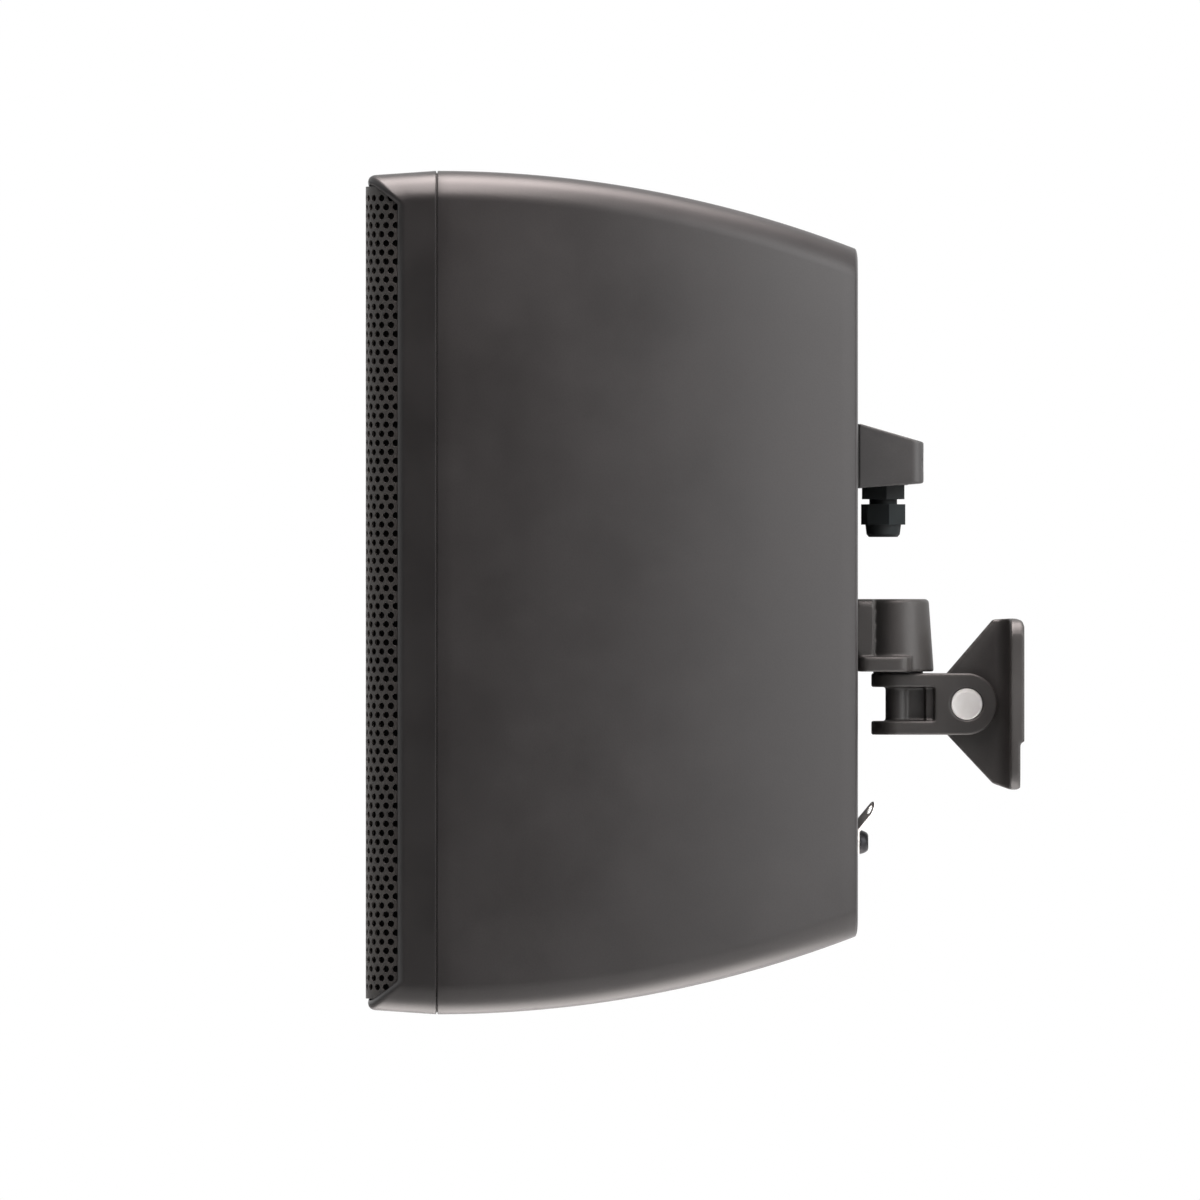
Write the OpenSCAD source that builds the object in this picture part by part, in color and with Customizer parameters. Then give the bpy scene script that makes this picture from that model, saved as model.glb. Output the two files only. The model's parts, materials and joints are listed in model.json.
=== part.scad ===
// Weatherproof two-way wall speaker on a tilt and pan bracket.
// The origin is on the wall, level with the tilt axis. The front faces -Y.

/* [Cabinet] */
// Height at the seam
cab_h = 421; // [400:1:460]
// Width at the seam
cab_w = 262; // [250:1:300]
// Depth from the rear panel to the front of the grille
cab_d = 246; // [230:1:300]
// Radius of the arc that the top, bottom and sides follow behind the seam
flank_r = 590; // [480:10:1200]
// Radius of the long edges
corner_r = 15; // [12:0.5:20]
// Thickness of the moulded walls
wall_t = 5; // [3.5:0.5:6]
// Thickness of the rear panel
rear_t = 6; // [5:0.5:8]
// Height of the cabinet's centre above the tilt axis
cab_rise = 56; // [40:1:80]
// Gap at the seam, filled by the gasket
seam_gap = 0.8; // [0.6:0.1:1.5]
// Diameter of the screws that hold the front to the shell
front_screw_d = 4; // [3:0.5:5]
// Length of those screws
front_screw_l = 24; // [18:1:34]
// Diameter of the screw bosses inside the shell
boss_d = 10; // [9:0.5:12]

/* [Front] */
// Depth from the seam to the front of the grille
rim_d = 35.5; // [32:0.5:45]
// How much the front is smaller than the seam, on each side
rim_taper = 2; // [0:0.25:3]
// Radius of the rounded nose of the rim
nose_r = 4.5; // [3.5:0.5:5.5]
// Radius, in plan, of the front corners of the rim
sweep_r = 15; // [12:0.5:18]
// Width of the lip round the grille
lip_w = 5.2; // [4:0.2:7]
// Depth of the baffle's face behind the front of the grille
recess_d = 24; // [22:0.5:26]
// Thickness of the baffle
baffle_t = 8; // [6:0.5:9]

/* [Grille] */
// Thickness of the steel sheet
sheet_t = 1.2; // [0.8:0.1:1.6]
// Radius of the bend at each side
bend_r = 18; // [16:0.5:20]
// Gap between the grille and the lip
grille_gap = 0.6; // [0.4:0.1:1]
// Spacing of the holes along a row
hole_pitch = 15.7; // [15:0.1:24]
// Width of each hole over its corners
hole_d = 10.5; // [6:0.5:12]
// Plain margin above and below the holes
hole_margin = 6; // [4:0.5:12]
// Thickness of the acoustic cloth behind the grille
cloth_t = 1; // [0.5:0.1:2]

/* [Woofer] */
// Diameter of the frame
woofer_d = 206; // [190:1:210]
// Distance of its centre below the cabinet's centre
woofer_drop = 78; // [76:1:90]
// Diameter of the cone
cone_d = 154; // [140:1:160]
// Depth of the cone
cone_depth = 44; // [36:1:50]
// Depth of the frame behind the baffle's face
frame_depth = 62; // [58:1:70]
// Thickness of the frame's flange
flange_t = 4.5; // [3:0.5:6]
// Diameter of the voice coil
coil_d = 39; // [30:0.5:42]
// Diameter of the magnet
magnet_d = 130; // [110:1:140]
// Height of the magnet
magnet_h = 18; // [14:1:24]
// Radial gap on each side of the coil
coil_gap = 0.8; // [0.5:0.1:1.2]
// Travel of the cone each way
cone_travel = 4; // [2:0.5:5]

/* [Horn] */
// Diameter of the horn's flange
horn_d = 132; // [120:1:140]
// Distance of its centre above the cabinet's centre
horn_rise = 112; // [108:1:120]
// Diameter of the throat
throat_d = 25.4; // [20:0.2:30]
// Depth of the horn
horn_depth = 55; // [45:1:65]
// Diameter of the compression driver
driver_d = 86; // [70:1:95]
// Length of the compression driver
driver_l = 45; // [35:1:60]

/* [Ports] */
// Bore of each port
port_d = 40; // [30:1:44]
// Length of each port
port_l = 95; // [60:1:130]
// Distance of each port from the middle
port_x = 92; // [88:1:94]
// Height of the ports above the cabinet's centre
port_rise = 30; // [26:1:34]

/* [Terminals] */
// Height of the cover's underside above the tilt axis
cover_z = 109.5; // [100:0.5:130]
// Depth of the terminal cover
cover_d = 33.5; // [30:0.5:45]
// Height of the cover at its outer edge
cover_h = 22; // [20:1:30]
// How much higher the cover is at the rear panel
cover_slope = 9.5; // [5:0.5:14]
// Width of the cover
cover_w = 72; // [68:1:90]
// Thickness of the cover's walls
cover_t = 2.5; // [2:0.25:3.5]
// Thread diameter of the cable gland
gland_d = 16; // [14:0.5:18]
// Width of the gland's hexagons over their corners
gland_hex = 23; // [21:0.5:24]
// Bore that the cable passes through
cable_d = 8; // [6:0.5:9]
// Distance of the gland's axis behind the rear panel
gland_y = 13.5; // [13:0.5:16]

/* [Bracket] */
// Height of the wall plate
plate_h = 86; // [80:1:110]
// Width of the wall plate
plate_w = 80; // [76:1:100]
// Thickness of the wall plate
plate_t = 7; // [6:0.5:8]
// Depth of the relief in the back of the plate, at the bottom
relief_d = 2; // [1:0.5:3]
// Height of that relief
relief_h = 24; // [16:1:30]
// Diameter of the wall screw holes
wall_hole_d = 6.5; // [5:0.5:7]
// Distance between wall screw holes, across
wall_hole_x = 62; // [58:1:66]
// Distance between wall screw holes, up and down
wall_hole_z = 66; // [60:1:70]
// Thickness of the web
web_t = 12; // [10:0.5:16]
// Radius of the web's round end
web_r = 17.7; // [15:0.1:18.5]
// Distance of the tilt axis from the wall
tilt_y = 28.6; // [26:0.1:32]
// Distance of the pan axis from the wall
pan_y = 63; // [62:0.5:75]
// Distance of the rear panel from the wall
rear_gap = 84; // [83:0.5:100]
// Width of the swivel arm
arm_w = 27; // [26:0.5:34]
// Height of the swivel arm
arm_h = 31; // [30:0.5:36]
// Thickness of the upper and lower lugs
lug_t = 7; // [6:0.5:8]
// Diameter of the barrel between the lugs
barrel_d = 12.8; // [12:0.2:16]
// Diameter of the tilt and pan bolts
bolt_d = 8; // [6:0.5:8.5]
// Diameter of the round caps over the tilt bolt
cap_d = 15.8; // [15:0.1:18]
// Thickness of the friction washers
washer_t = 0.8; // [0.5:0.1:1.2]

/* [Shoe] */
// Width of the shoe's base
shoe_w = 56; // [54:1:80]
// Height of the shoe above its flange
shoe_h = 29; // [27:1:40]
// Thickness of the shoe's base
shoe_t = 8.5; // [7:0.5:10]
// Thickness of the shoe's flange
shoe_flange_t = 7.5; // [6:0.5:9]
// Width of the shoe's flange
shoe_flange_w = 60; // [50:1:70]
// Diameter of the upright post at its foot
post_d = 36; // [32:0.5:38]
// How much narrower the post is at its top
post_taper = 5; // [2:0.5:6]
// Diameter of the shoe screws
shoe_screw_d = 5; // [4:0.5:6]
// Thickness of the backing plate inside the cabinet
backing_t = 3; // [2:0.5:4]

/* [Safety tab] */
// Thickness of the tab
tab_t = 1.5; // [1:0.25:2]
// Width of the tab
tab_w = 9; // [8:0.5:14]
// Height of the tab's screw above the tilt axis, negative below
tab_z = -69.5; // [-90:0.5:-66]
// Length of the slanted leg
tab_leg = 16; // [14:0.5:22]
// Lean of the leg from the rear panel
tab_angle = 32; // [25:1:50]
// How far the tab is turned about its screw
tab_turn = 40; // [0:5:60]
// Diameter of the eye
tab_hole_d = 4.5; // [4:0.5:6]

/* [Hidden] */
$fn = 48;
front_y = -rear_gap - cab_d;
seam_y = front_y + rim_d;
rear_y = -rear_gap;
shell_l = cab_d - rim_d;
half_w = cab_w / 2;
half_h = cab_h / 2;
// Half width and half height at the front of the rim
front_w = half_w - rim_taper;
front_h = half_h - rim_taper;
baffle_y = front_y + recess_d;
baffle_back = baffle_y + baffle_t;
// The nose starts this far behind the front of the grille, in the middle
nose_y = front_y + 1 + nose_r;
arc_n = 7;
inside_inset = wall_t + 1;
// Largest size of the opening inside the lip
recess_w = front_w - lip_w;
recess_h = front_h - lip_w;
grille_w = recess_w - grille_gap;
grille_h = recess_h - grille_gap;
grille_corner = corner_r - lip_w - grille_gap;
woofer_z = cab_rise - woofer_drop;
horn_z = cab_rise + horn_rise;
port_z = cab_rise + port_rise;
run_clear = 0.05;
fit_clear = 0.3;
loose_clear = 0.6;
cutout_d = woofer_d - 22;
coil_r = coil_d / 2;
top_plate_t = 6;
back_plate_t = 7;
gap_r = coil_r + 0.9 + coil_gap;
pole_r = coil_r - 0.9 - coil_gap;
bolt_r = bolt_d / 2;
arm_r = arm_h / 2;
slot_half = web_t / 2 + washer_t;
slot_r = web_r + 0.8;
head_d = bolt_d + 5;
head_t = 2.8;
cap_t = 1.4;
cap_seat = arm_w / 2 - head_t - cap_t + 0.2;
pan_top = arm_r + washer_t;
shoe_top = pan_top + shoe_flange_t + shoe_h;
socket_t = 5;
nut_t = 6.5;
gland_axis = rear_y + gland_y;
thread_l = 8;
gland_flange_t = 7;
gland_neck_l = 2.5;
dome_l = 16.5;
dome_hex_l = 10.3;
shoe_holes = [[-1, 0], [1, 0], [-1, 1], [1, 1]];
front_screw_spots = [
    [-1, -1], [0, -1], [1, -1], [-1, -0.1], [1, -0.1], [-1, 1], [0, 1], [1, 1]
];

function arc(cx, cy, r, a0, a1, n = arc_n) =
    [for (i = [0:n]) let(a = a0 + (a1 - a0) * i / n) [cx + r * cos(a), cy + r * sin(a)]];

// Rounded rectangle of half sizes w and h
function rounded(w, h, r) = concat(
    arc(w - r, h - r, r, 0, 90),
    arc(r - w, h - r, r, 90, 180),
    arc(r - w, r - h, r, 180, 270),
    arc(w - r, r - h, r, 270, 360)
);

// How far the flanks have come in at a distance behind the seam
function flank(d) = flank_r - sqrt(flank_r * flank_r - d * d);

// How far the front edge swings back near the sides
function sweep(x, w, r) =
    let(u = max(0, abs(x) - (w - r))) r - sqrt(max(0, r * r - u * u));

// Flat section of the cabinet, and a section of the rim that follows the swept front
function flat_ring(w, h, r, y) = [for (p = rounded(w, h, r)) [p[0], y, p[1] + cab_rise]];
function swept_ring(w, h, r, y, sr) =
    [for (p = rounded(w, h, r)) [p[0], y + sweep(p[0], w, sr), p[1] + cab_rise]];

// Closed skin through rings of points, from the rear to the front
module loft(rings) {
    n = len(rings[0]);
    m = len(rings);
    points = [for (ring = rings) for (p = ring) p];
    sides = [
        for (k = [0:m - 2]) for (i = [0:n - 1]) let(j = (i + 1) % n)
        each [
            [k * n + i, (k + 1) * n + i, (k + 1) * n + j],
            [k * n + i, (k + 1) * n + j, k * n + j]
        ]
    ];
    polyhedron(points, concat([[for (i = [0:n - 1]) i]], sides, [[for (i = [n - 1:-1:0]) (m - 1) * n + i]]));
}

// Outline in X and Z, drawn out along Y
module along_y(y0, y1) {
    translate([0, y1, 0]) rotate([90, 0, 0]) linear_extrude(y1 - y0) children();
}

// Outline in Y and Z, drawn out along X
module along_x(x0, x1) {
    translate([x0, 0, 0]) rotate([90, 0, 90]) linear_extrude(x1 - x0) children();
}

module rod_y(d, y0, y1, x = 0, z = 0) {
    translate([x, y1, z]) rotate([90, 0, 0]) cylinder(d = d, h = y1 - y0);
}

module rod_x(d, x0, x1, y = 0, z = 0) {
    translate([x0, y, z]) rotate([0, 90, 0]) cylinder(d = d, h = x1 - x0);
}

module rod_z(d, z0, z1, x = 0, y = 0) {
    translate([x, y, z0]) cylinder(d = d, h = z1 - z0);
}

// Round part about an axis along Y: radius, then distance in front of the baffle's face
module turned(z) {
    translate([0, baffle_y, z]) rotate([90, 0, 0]) rotate_extrude() children();
}

// Cross recess and head of a small screw whose head faces the front
module pan_screw(d, l, x, y, z) {
    head_h = d * 0.6;
    difference() {
        union() {
            rod_y(d, y, y + l, x, z);
            rod_y(d * 2, y - head_h, y, x, z);
        }
        for (a = [0, 90]) {
            translate([x, y - head_h, z]) rotate([0, a, 0])
                cube([d * 1.1, head_h, d * 0.25], center = true);
        }
    }
}

// Cabinet

function shell_ring(inset, d) = let(f = flank(d) + inset)
    flat_ring(half_w - f, half_h - f, max(3, corner_r - inset), seam_y + d);

module shell_outside() {
    steps = 8;
    edge = 1.5;
    body = [for (k = [steps:-1:1]) shell_ring(0, (shell_l - edge) * k / steps)];
    loft(concat(
        [shell_ring(6, shell_l), shell_ring(2.5, shell_l - edge / 3)],
        body,
        [shell_ring(0, seam_gap / 2)]
    ));
}

module shell_inside() {
    steps = 8;
    back = shell_l - rear_t;
    loft(concat(
        [for (k = [steps:-1:1]) shell_ring(wall_t, back * k / steps)],
        [flat_ring(half_w - wall_t, half_h - wall_t, corner_r - wall_t, seam_y - 1)]
    ));
}

function screw_x(s) = s[0] * (half_w - inside_inset - boss_d / 2 - 4);
function screw_z(s) = cab_rise + s[1] * (half_h - inside_inset - boss_d / 2 - 3.5);

module front_bosses() {
    l = front_screw_l + 6;
    rib = 3;
    for (s = front_screw_spots) {
        x = screw_x(s);
        z = screw_z(s);
        rod_y(boss_d, baffle_back, baffle_back + l, x, z);
        if (s[0] != 0)
            translate([s[0] > 0 ? x : -half_w + wall_t / 2, seam_y + seam_gap, z - rib / 2])
                cube([half_w - wall_t / 2 - abs(x), l - seam_y + baffle_back - seam_gap, rib]);
        else
            translate([x - rib / 2, seam_y + seam_gap, s[1] > 0 ? z : cab_rise - half_h + wall_t / 2])
                cube([rib, l - seam_y + baffle_back - seam_gap, half_h - wall_t / 2 - abs(z - cab_rise)]);
    }
}

module cabinet_shell() {
    color("#4a4849") difference() {
        union() {
            difference() {
                shell_outside();
                shell_inside();
            }
            front_bosses();
        }
        for (s = front_screw_spots) {
            rod_y(front_screw_d, baffle_back - 1, baffle_back + front_screw_l + 1, screw_x(s), screw_z(s));
        }
        for (s = shoe_holes) {
            rod_y(shoe_screw_d + loose_clear, rear_y - rear_t - 1, rear_y + 1, shoe_screw_x(s), shoe_screw_z(s));
        }
        for (s = [-1, 1]) {
            rod_y(cover_screw_d, rear_y - rear_t - 1, rear_y + 1, s * cover_screw_x, cover_screw_z);
        }
        rod_y(lead_hole_d, rear_y - rear_t - 1, rear_y + 1, 0, block_z);
        rod_y(tab_screw_d, rear_y - rear_t - 1, rear_y + 1, 0, tab_z);
    }
}

// Front

module front_baffle() {
    back_w = half_w - inside_inset;
    back_h = half_h - inside_inset;
    back_r = corner_r - inside_inset;
    side_w = half_w - rim_taper * 0.9;
    side_h = half_h - rim_taper * 0.9;
    mid = nose_r * 0.3;
    color("#231f20") difference() {
        loft([
            flat_ring(back_w, back_h, back_r, baffle_back),
            flat_ring(back_w, back_h, back_r, seam_y - seam_gap / 2),
            flat_ring(half_w, half_h, corner_r, seam_y - seam_gap / 2),
            swept_ring(side_w, side_h, corner_r, nose_y, sweep_r),
            swept_ring(front_w - mid, front_h - mid, corner_r - mid, nose_y - nose_r * 0.72, sweep_r),
            swept_ring(front_w - nose_r * 0.8, front_h - nose_r * 0.8, corner_r - nose_r * 0.8,
                nose_y - nose_r, sweep_r),
            swept_ring(recess_w, recess_h, corner_r - lip_w, nose_y - nose_r * 0.9, sweep_r),
            flat_ring(recess_w, recess_h, corner_r - lip_w, baffle_y)
        ]);
        rod_y(cutout_d, baffle_y - 1, baffle_back + 1, 0, woofer_z);
        rod_y(horn_d - 22, baffle_y - 1, baffle_back + 1, 0, horn_z);
        for (s = [-1, 1]) {
            rod_y(port_d + 6, baffle_y - 1, baffle_back + 1, s * port_x, port_z);
        }
        for (s = front_screw_spots) {
            rod_y(front_screw_d + loose_clear, baffle_y - 1, baffle_back + 1, screw_x(s), screw_z(s));
        }
        for (a = woofer_screw_angles) {
            rod_y(driver_screw_d, baffle_y - 1, baffle_back + 1, woofer_screw_x(a), woofer_screw_z(a));
        }
        for (a = horn_screw_angles) {
            rod_y(driver_screw_d, baffle_y - 1, baffle_back + 1, horn_screw_x(a), horn_screw_z(a));
        }
    }
}

module seam_gasket() {
    outer = 1.2;
    inner = wall_t - 0.4;
    color("#111111") translate([0, 0, cab_rise]) along_y(seam_y - seam_gap / 2, seam_y + seam_gap / 2)
        difference() {
            polygon(rounded(half_w - outer, half_h - outer, corner_r - outer));
            polygon(rounded(half_w - inner, half_h - inner, corner_r - inner));
        }
}

module front_screws() {
    color("#3a3a3c") for (s = front_screw_spots) {
        pan_screw(front_screw_d, baffle_t + front_screw_l, screw_x(s), baffle_y, screw_z(s));
    }
}

// Grille

// Bent sheet in plan: flat front, a bend at each side and short returns
function wrap(inset) = let(w = grille_w - inset, r = bend_r - inset) concat(
    [[-w, baffle_y - 3]],
    arc(-grille_w + bend_r, front_y + bend_r, r, 180, 270),
    arc(grille_w - bend_r, front_y + bend_r, r, 270, 360),
    [[w, baffle_y - 3]]
);

module wrapped_sheet(inset, t) {
    intersection() {
        translate([0, 0, cab_rise - half_h]) linear_extrude(cab_h) polygon(concat(
            wrap(inset),
            [for (i = [len(wrap(0)) - 1:-1:0]) wrap(inset + t)[i]]
        ));
        translate([0, 0, cab_rise]) along_y(front_y - 1, baffle_y)
            polygon(rounded(grille_w + 1, grille_h - inset, grille_corner + 1));
    }
}

row_count = floor((grille_h - hole_margin - hole_d / 2) * 2 / (hole_pitch * sin(60))) + 1;
flat_count = floor((grille_w - bend_r) * 2 / hole_pitch);
bend_step = hole_pitch / (bend_r - sheet_t / 2) * 180 / PI;

module hole_cutter() {
    rotate([90, 0, 0]) cylinder(d = hole_d, h = sheet_t * 4, center = true, $fn = 6);
}

module grille() {
    z0 = cab_rise - (row_count - 1) / 2 * hole_pitch * sin(60);
    edge = flat_count * hole_pitch / 2;
    color("#3a3736") difference() {
        wrapped_sheet(0, sheet_t);
        for (row = [0:row_count - 1]) translate([0, 0, z0 + row * hole_pitch * sin(60)]) {
            odd = row % 2;
            for (i = [0:flat_count - odd]) {
                translate([-edge + (i + odd / 2) * hole_pitch, front_y + sheet_t / 2, 0]) hole_cutter();
            }
            for (s = [-1, 1]) {
                a = (odd ? 0.5 : 1) * bend_step - (grille_w - bend_r - edge) / bend_r * 180 / PI;
                translate([s * (grille_w - bend_r), front_y + bend_r, 0]) rotate([0, 0, s * a])
                    translate([0, -bend_r + sheet_t / 2, 0]) hole_cutter();
            }
        }
    }
}

module grille_cloth() {
    color("#0c0c0c") wrapped_sheet(sheet_t, cloth_t);
}

// Woofer

woofer_screw_angles = [for (i = [0:7]) 22.5 + i * 45];
horn_screw_angles = [45, 135, 225, 315];
driver_screw_d = 4;
function woofer_screw_x(a) = (woofer_d / 2 - 5.5) * cos(a);
function woofer_screw_z(a) = woofer_z + (woofer_d / 2 - 5.5) * sin(a);
function horn_screw_x(a) = (horn_d / 2 - 5.5) * cos(a);
function horn_screw_z(a) = horn_z + (horn_d / 2 - 5.5) * sin(a);

module woofer_frame() {
    t = 2.5;
    r0 = cutout_d / 2 - 1;
    r1 = magnet_d / 2 - 10;
    spider_z = frame_depth - 12;
    spider_r = r1 + 1;
    color("#202022") difference() {
        turned(woofer_z) polygon([
            [r0 - t, flange_t], [woofer_d / 2, flange_t], [woofer_d / 2, 0], [r0, 0],
            [r1 + t + 2, 2 - spider_z], [r1 + t + 2, -frame_depth],
            [gap_r, -frame_depth], [gap_r, 3 - frame_depth], [r1 - 2, 3 - frame_depth],
            [r1 - 2, -spider_z], [spider_r, -spider_z]
        ]);
        for (i = [0:5]) {
            translate([0, baffle_y + frame_depth * 0.42, woofer_z]) rotate([0, 30 + i * 60, 0])
                rod_x(frame_depth * 0.52, r1 - 4, cutout_d / 2 + 10);
        }
        for (a = woofer_screw_angles) {
            rod_y(driver_screw_d + loose_clear, baffle_y - flange_t - 1, baffle_y + 1,
                woofer_screw_x(a), woofer_screw_z(a));
        }
    }
}

module woofer_cone() {
    t = 1.2;
    neck = coil_r + 0.9;
    color("#1b1b1d") turned(woofer_z) polygon([
        [cone_d / 2, flange_t], [cone_d / 2, flange_t - t], [neck + 1, flange_t - cone_depth - t],
        [neck, flange_t - cone_depth - t], [neck, flange_t - cone_depth + t / 2]
    ]);
}

module dust_cap() {
    r = coil_r + 10;
    ball = r * 1.3;
    t = 0.8;
    slope = (cone_depth) / (cone_d / 2 - coil_r - 0.9);
    seat = flange_t - cone_depth + 0.8 + (r - coil_r - 0.9) * slope + 0.2;
    half = asin(r / ball);
    base = seat - ball * cos(half);
    color("#161617") turned(woofer_z) polygon(concat(
        [for (i = [0:8]) let(a = half * (1 - i / 8)) [ball * sin(a), base + ball * cos(a)]],
        [for (i = [0:8]) let(a = half * i / 8) [(ball - t) * sin(a), base + (ball - t) * cos(a)]]
    ));
}

module surround() {
    inner = cone_d / 2 + fit_clear;
    outer = cutout_d / 2 - 1.5;
    mid = (inner + outer) / 2;
    r = (outer - inner) / 2;
    t = 1;
    color("#141416") turned(woofer_z) difference() {
        union() {
            translate([mid, flange_t]) circle(r = r);
            translate([mid, flange_t]) square([woofer_d / 2 - 12 - mid, t]);
        }
        translate([mid, flange_t]) circle(r = r - t);
        translate([mid - r - 1, flange_t - r - 1]) square([2 * r + 2, r + 1]);
    }
}

module spider() {
    inner = coil_r + 0.9 + 0.1;
    outer = magnet_d / 2 - 10 + 0.5;
    depth = frame_depth - 12;
    waves = 4;
    steps = 32;
    t = 0.8;
    rise = 1.2;
    function wave(u) = rise * (1 - cos(u * waves * 360));
    color("#c9a45c") turned(woofer_z) polygon(concat(
        [for (i = [0:steps]) let(u = i / steps) [inner + (outer - inner) * u, wave(u) - depth]],
        [for (i = [steps:-1:0]) let(u = i / steps) [inner + (outer - inner) * u, wave(u) - depth + t]]
    ));
}

module voice_coil() {
    top = flange_t - cone_depth - 1;
    overhang = cone_travel - 1;
    low = -frame_depth - top_plate_t - overhang;
    color("#b87333") turned(woofer_z) {
        translate([coil_r, low - 3]) square([0.45, top - low + 3]);
        translate([coil_r, low]) square([0.9, top_plate_t + 2 * overhang]);
    }
}

module magnet_top_plate() {
    color("#8c8f94") turned(woofer_z) polygon([
        [gap_r, -frame_depth], [magnet_d / 2 - 5, -frame_depth],
        [magnet_d / 2 - 5, -frame_depth - top_plate_t], [gap_r, -frame_depth - top_plate_t]
    ]);
}

module magnet_ring() {
    top = -frame_depth - top_plate_t;
    color("#3b3b3d") turned(woofer_z) polygon([
        [gap_r + 10, top], [magnet_d / 2 - 1, top], [magnet_d / 2, top - 1],
        [magnet_d / 2, top - magnet_h + 1], [magnet_d / 2 - 1, top - magnet_h], [gap_r + 10, top - magnet_h]
    ]);
}

module pole_plate() {
    top = -frame_depth - top_plate_t - magnet_h;
    color("#8c8f94") turned(woofer_z) polygon([
        [5, 1 - frame_depth], [pole_r, 1 - frame_depth], [pole_r, top], [magnet_d / 2 - 5, top],
        [magnet_d / 2 - 8, top - back_plate_t], [5, top - back_plate_t]
    ]);
}

module woofer_screws() {
    color("#3a3a3c") for (a = woofer_screw_angles) {
        pan_screw(driver_screw_d, baffle_t + flange_t, woofer_screw_x(a), baffle_y - flange_t, woofer_screw_z(a));
    }
}

// Horn

function flare(u) = throat_d / 2 + (horn_d / 2 - 12 - throat_d / 2) * (1 - cos(u * 90));

module horn() {
    steps = 12;
    t = 2.5;
    color("#1d1d1f") difference() {
        turned(horn_z) polygon(concat(
            [for (i = [0:steps]) let(u = i / steps) [flare(u), 3.5 - (horn_depth + 3.5) * (1 - u)]],
            [[horn_d / 2, 3.5], [horn_d / 2, 0], [horn_d / 2 - 11.5, 0]],
            [for (i = [steps - 1:-1:2]) let(u = i / steps)
                [flare(u) + t, 3.5 - (horn_depth + 3.5) * (1 - u) - t * u]],
            [[throat_d / 2 + 12, 4 - horn_depth], [throat_d / 2 + 12, -horn_depth]]
        ));
        for (a = horn_screw_angles) {
            rod_y(driver_screw_d + loose_clear, baffle_y - 5, baffle_y + 1, horn_screw_x(a), horn_screw_z(a));
        }
    }
}

module compression_driver() {
    color("#2b2b2e") turned(horn_z) polygon([
        [0, -horn_depth - 2], [throat_d / 2, -horn_depth - 2], [throat_d / 2, -horn_depth],
        [driver_d / 2 - 6, -horn_depth], [driver_d / 2 - 6, -horn_depth - 8],
        [driver_d / 2, -horn_depth - 8], [driver_d / 2, -horn_depth - driver_l + 9],
        [driver_d / 2 - 8, -horn_depth - driver_l], [0, -horn_depth - driver_l]
    ]);
}

module horn_screws() {
    color("#3a3a3c") for (a = horn_screw_angles) {
        pan_screw(driver_screw_d, baffle_t + 3.5, horn_screw_x(a), baffle_y - 3.5, horn_screw_z(a));
    }
}

module port_tubes() {
    t = 2.5;
    color("#1d1d1f") for (s = [-1, 1]) translate([s * port_x, 0, 0]) turned(port_z) polygon(concat(
        arc(port_d / 2 + 6, -3.5, 6, 180, 90, 6),
        [[port_d / 2 + 7, 2.5], [port_d / 2 + 7, 0], [port_d / 2 + t + 0.2, 0]],
        [[port_d / 2 + t, -1], [port_d / 2 + t, -port_l], [port_d / 2, -port_l]]
    ));
}

// Inside the cabinet

board_w = 120;
board_h = 76;
board_t = 1.6;
board_z = cab_rise + 102;
board_gap = 8;
board_y = rear_y - rear_t - board_gap;
board_face = board_y - board_t;

module crossover_board() {
    color("#1f5a35") difference() {
        translate([-board_w / 2, board_face, board_z - board_h / 2]) cube([board_w, board_t, board_h]);
        for (sx = [-1, 1]) for (sz = [-1, 1]) {
            rod_y(3.4, board_face - 1, board_y + 1, sx * (board_w / 2 - 6), board_z + sz * (board_h / 2 - 6));
        }
    }
}

module board_pillars() {
    color("#c8b560") for (sx = [-1, 1]) for (sz = [-1, 1]) {
        x = sx * (board_w / 2 - 6);
        z = board_z + sz * (board_h / 2 - 6);
        rod_y(7, board_y, board_y + board_gap, x, z);
        rod_y(3.2, board_face - 2, board_y, x, z);
        rod_y(6, board_face - 3.5, board_face, x, z);
    }
}

module crossover_coils() {
    color("#b06a32") for (s = [-1, 1]) translate([s * 34, board_face, board_z - 14]) rotate([90, 0, 0])
        rotate_extrude() polygon([
            [7, 0], [18, 0], [18, 2], [16, 2], [16, 16], [18, 16], [18, 18], [7, 18]
        ]);
}

module crossover_capacitors() {
    d = 13;
    l = 32;
    color("#8a2c24") for (i = [-1:1]) {
        rod_x(d, i * (l + 6) - l / 2, i * (l + 6) + l / 2, board_face - d / 2, board_z + 21);
    }
}

module transformer() {
    w = 58;
    h = 48;
    d = 40;
    z = tab_z + 44;
    back = rear_y - rear_t;
    color("#55575b") difference() {
        union() {
            translate([-w / 2, back - d, z - h / 2]) cube([w, d, h]);
            translate([-w / 2 - 12, back - 3, z - h / 2 + 8]) cube([w + 24, 3, h - 16]);
            translate([-w / 2 + 8, back - d - 6, z - h / 2 - 4]) cube([w - 16, d - 2, h + 8]);
        }
        for (s = [-1, 1]) {
            rod_y(4.5, back - 4, back + 1, s * (w / 2 + 6), z);
        }
    }
}

module damping_pad() {
    t = 20;
    y1 = seam_y + shell_l * 0.72;
    y0 = baffle_y + port_l + 5;
    f = flank(shell_l * 0.72) + wall_t + 1;
    color("#d8d4c8") translate([0, 0, cab_rise]) along_y(y0, y1) difference() {
        polygon(rounded(half_w - f, half_h - f, corner_r - wall_t));
        polygon(rounded(half_w - f - t, half_h - f - t, 6));
    }
}

// Terminals

block_z = cover_z + 18;
lead_hole_d = 12;
cover_screw_d = 3.5;
cover_screw_x = cover_w / 2 - 6.5;
cover_screw_z = cover_z + 12;
gasket_t = 1;
cover_y = rear_y + gasket_t;

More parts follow.
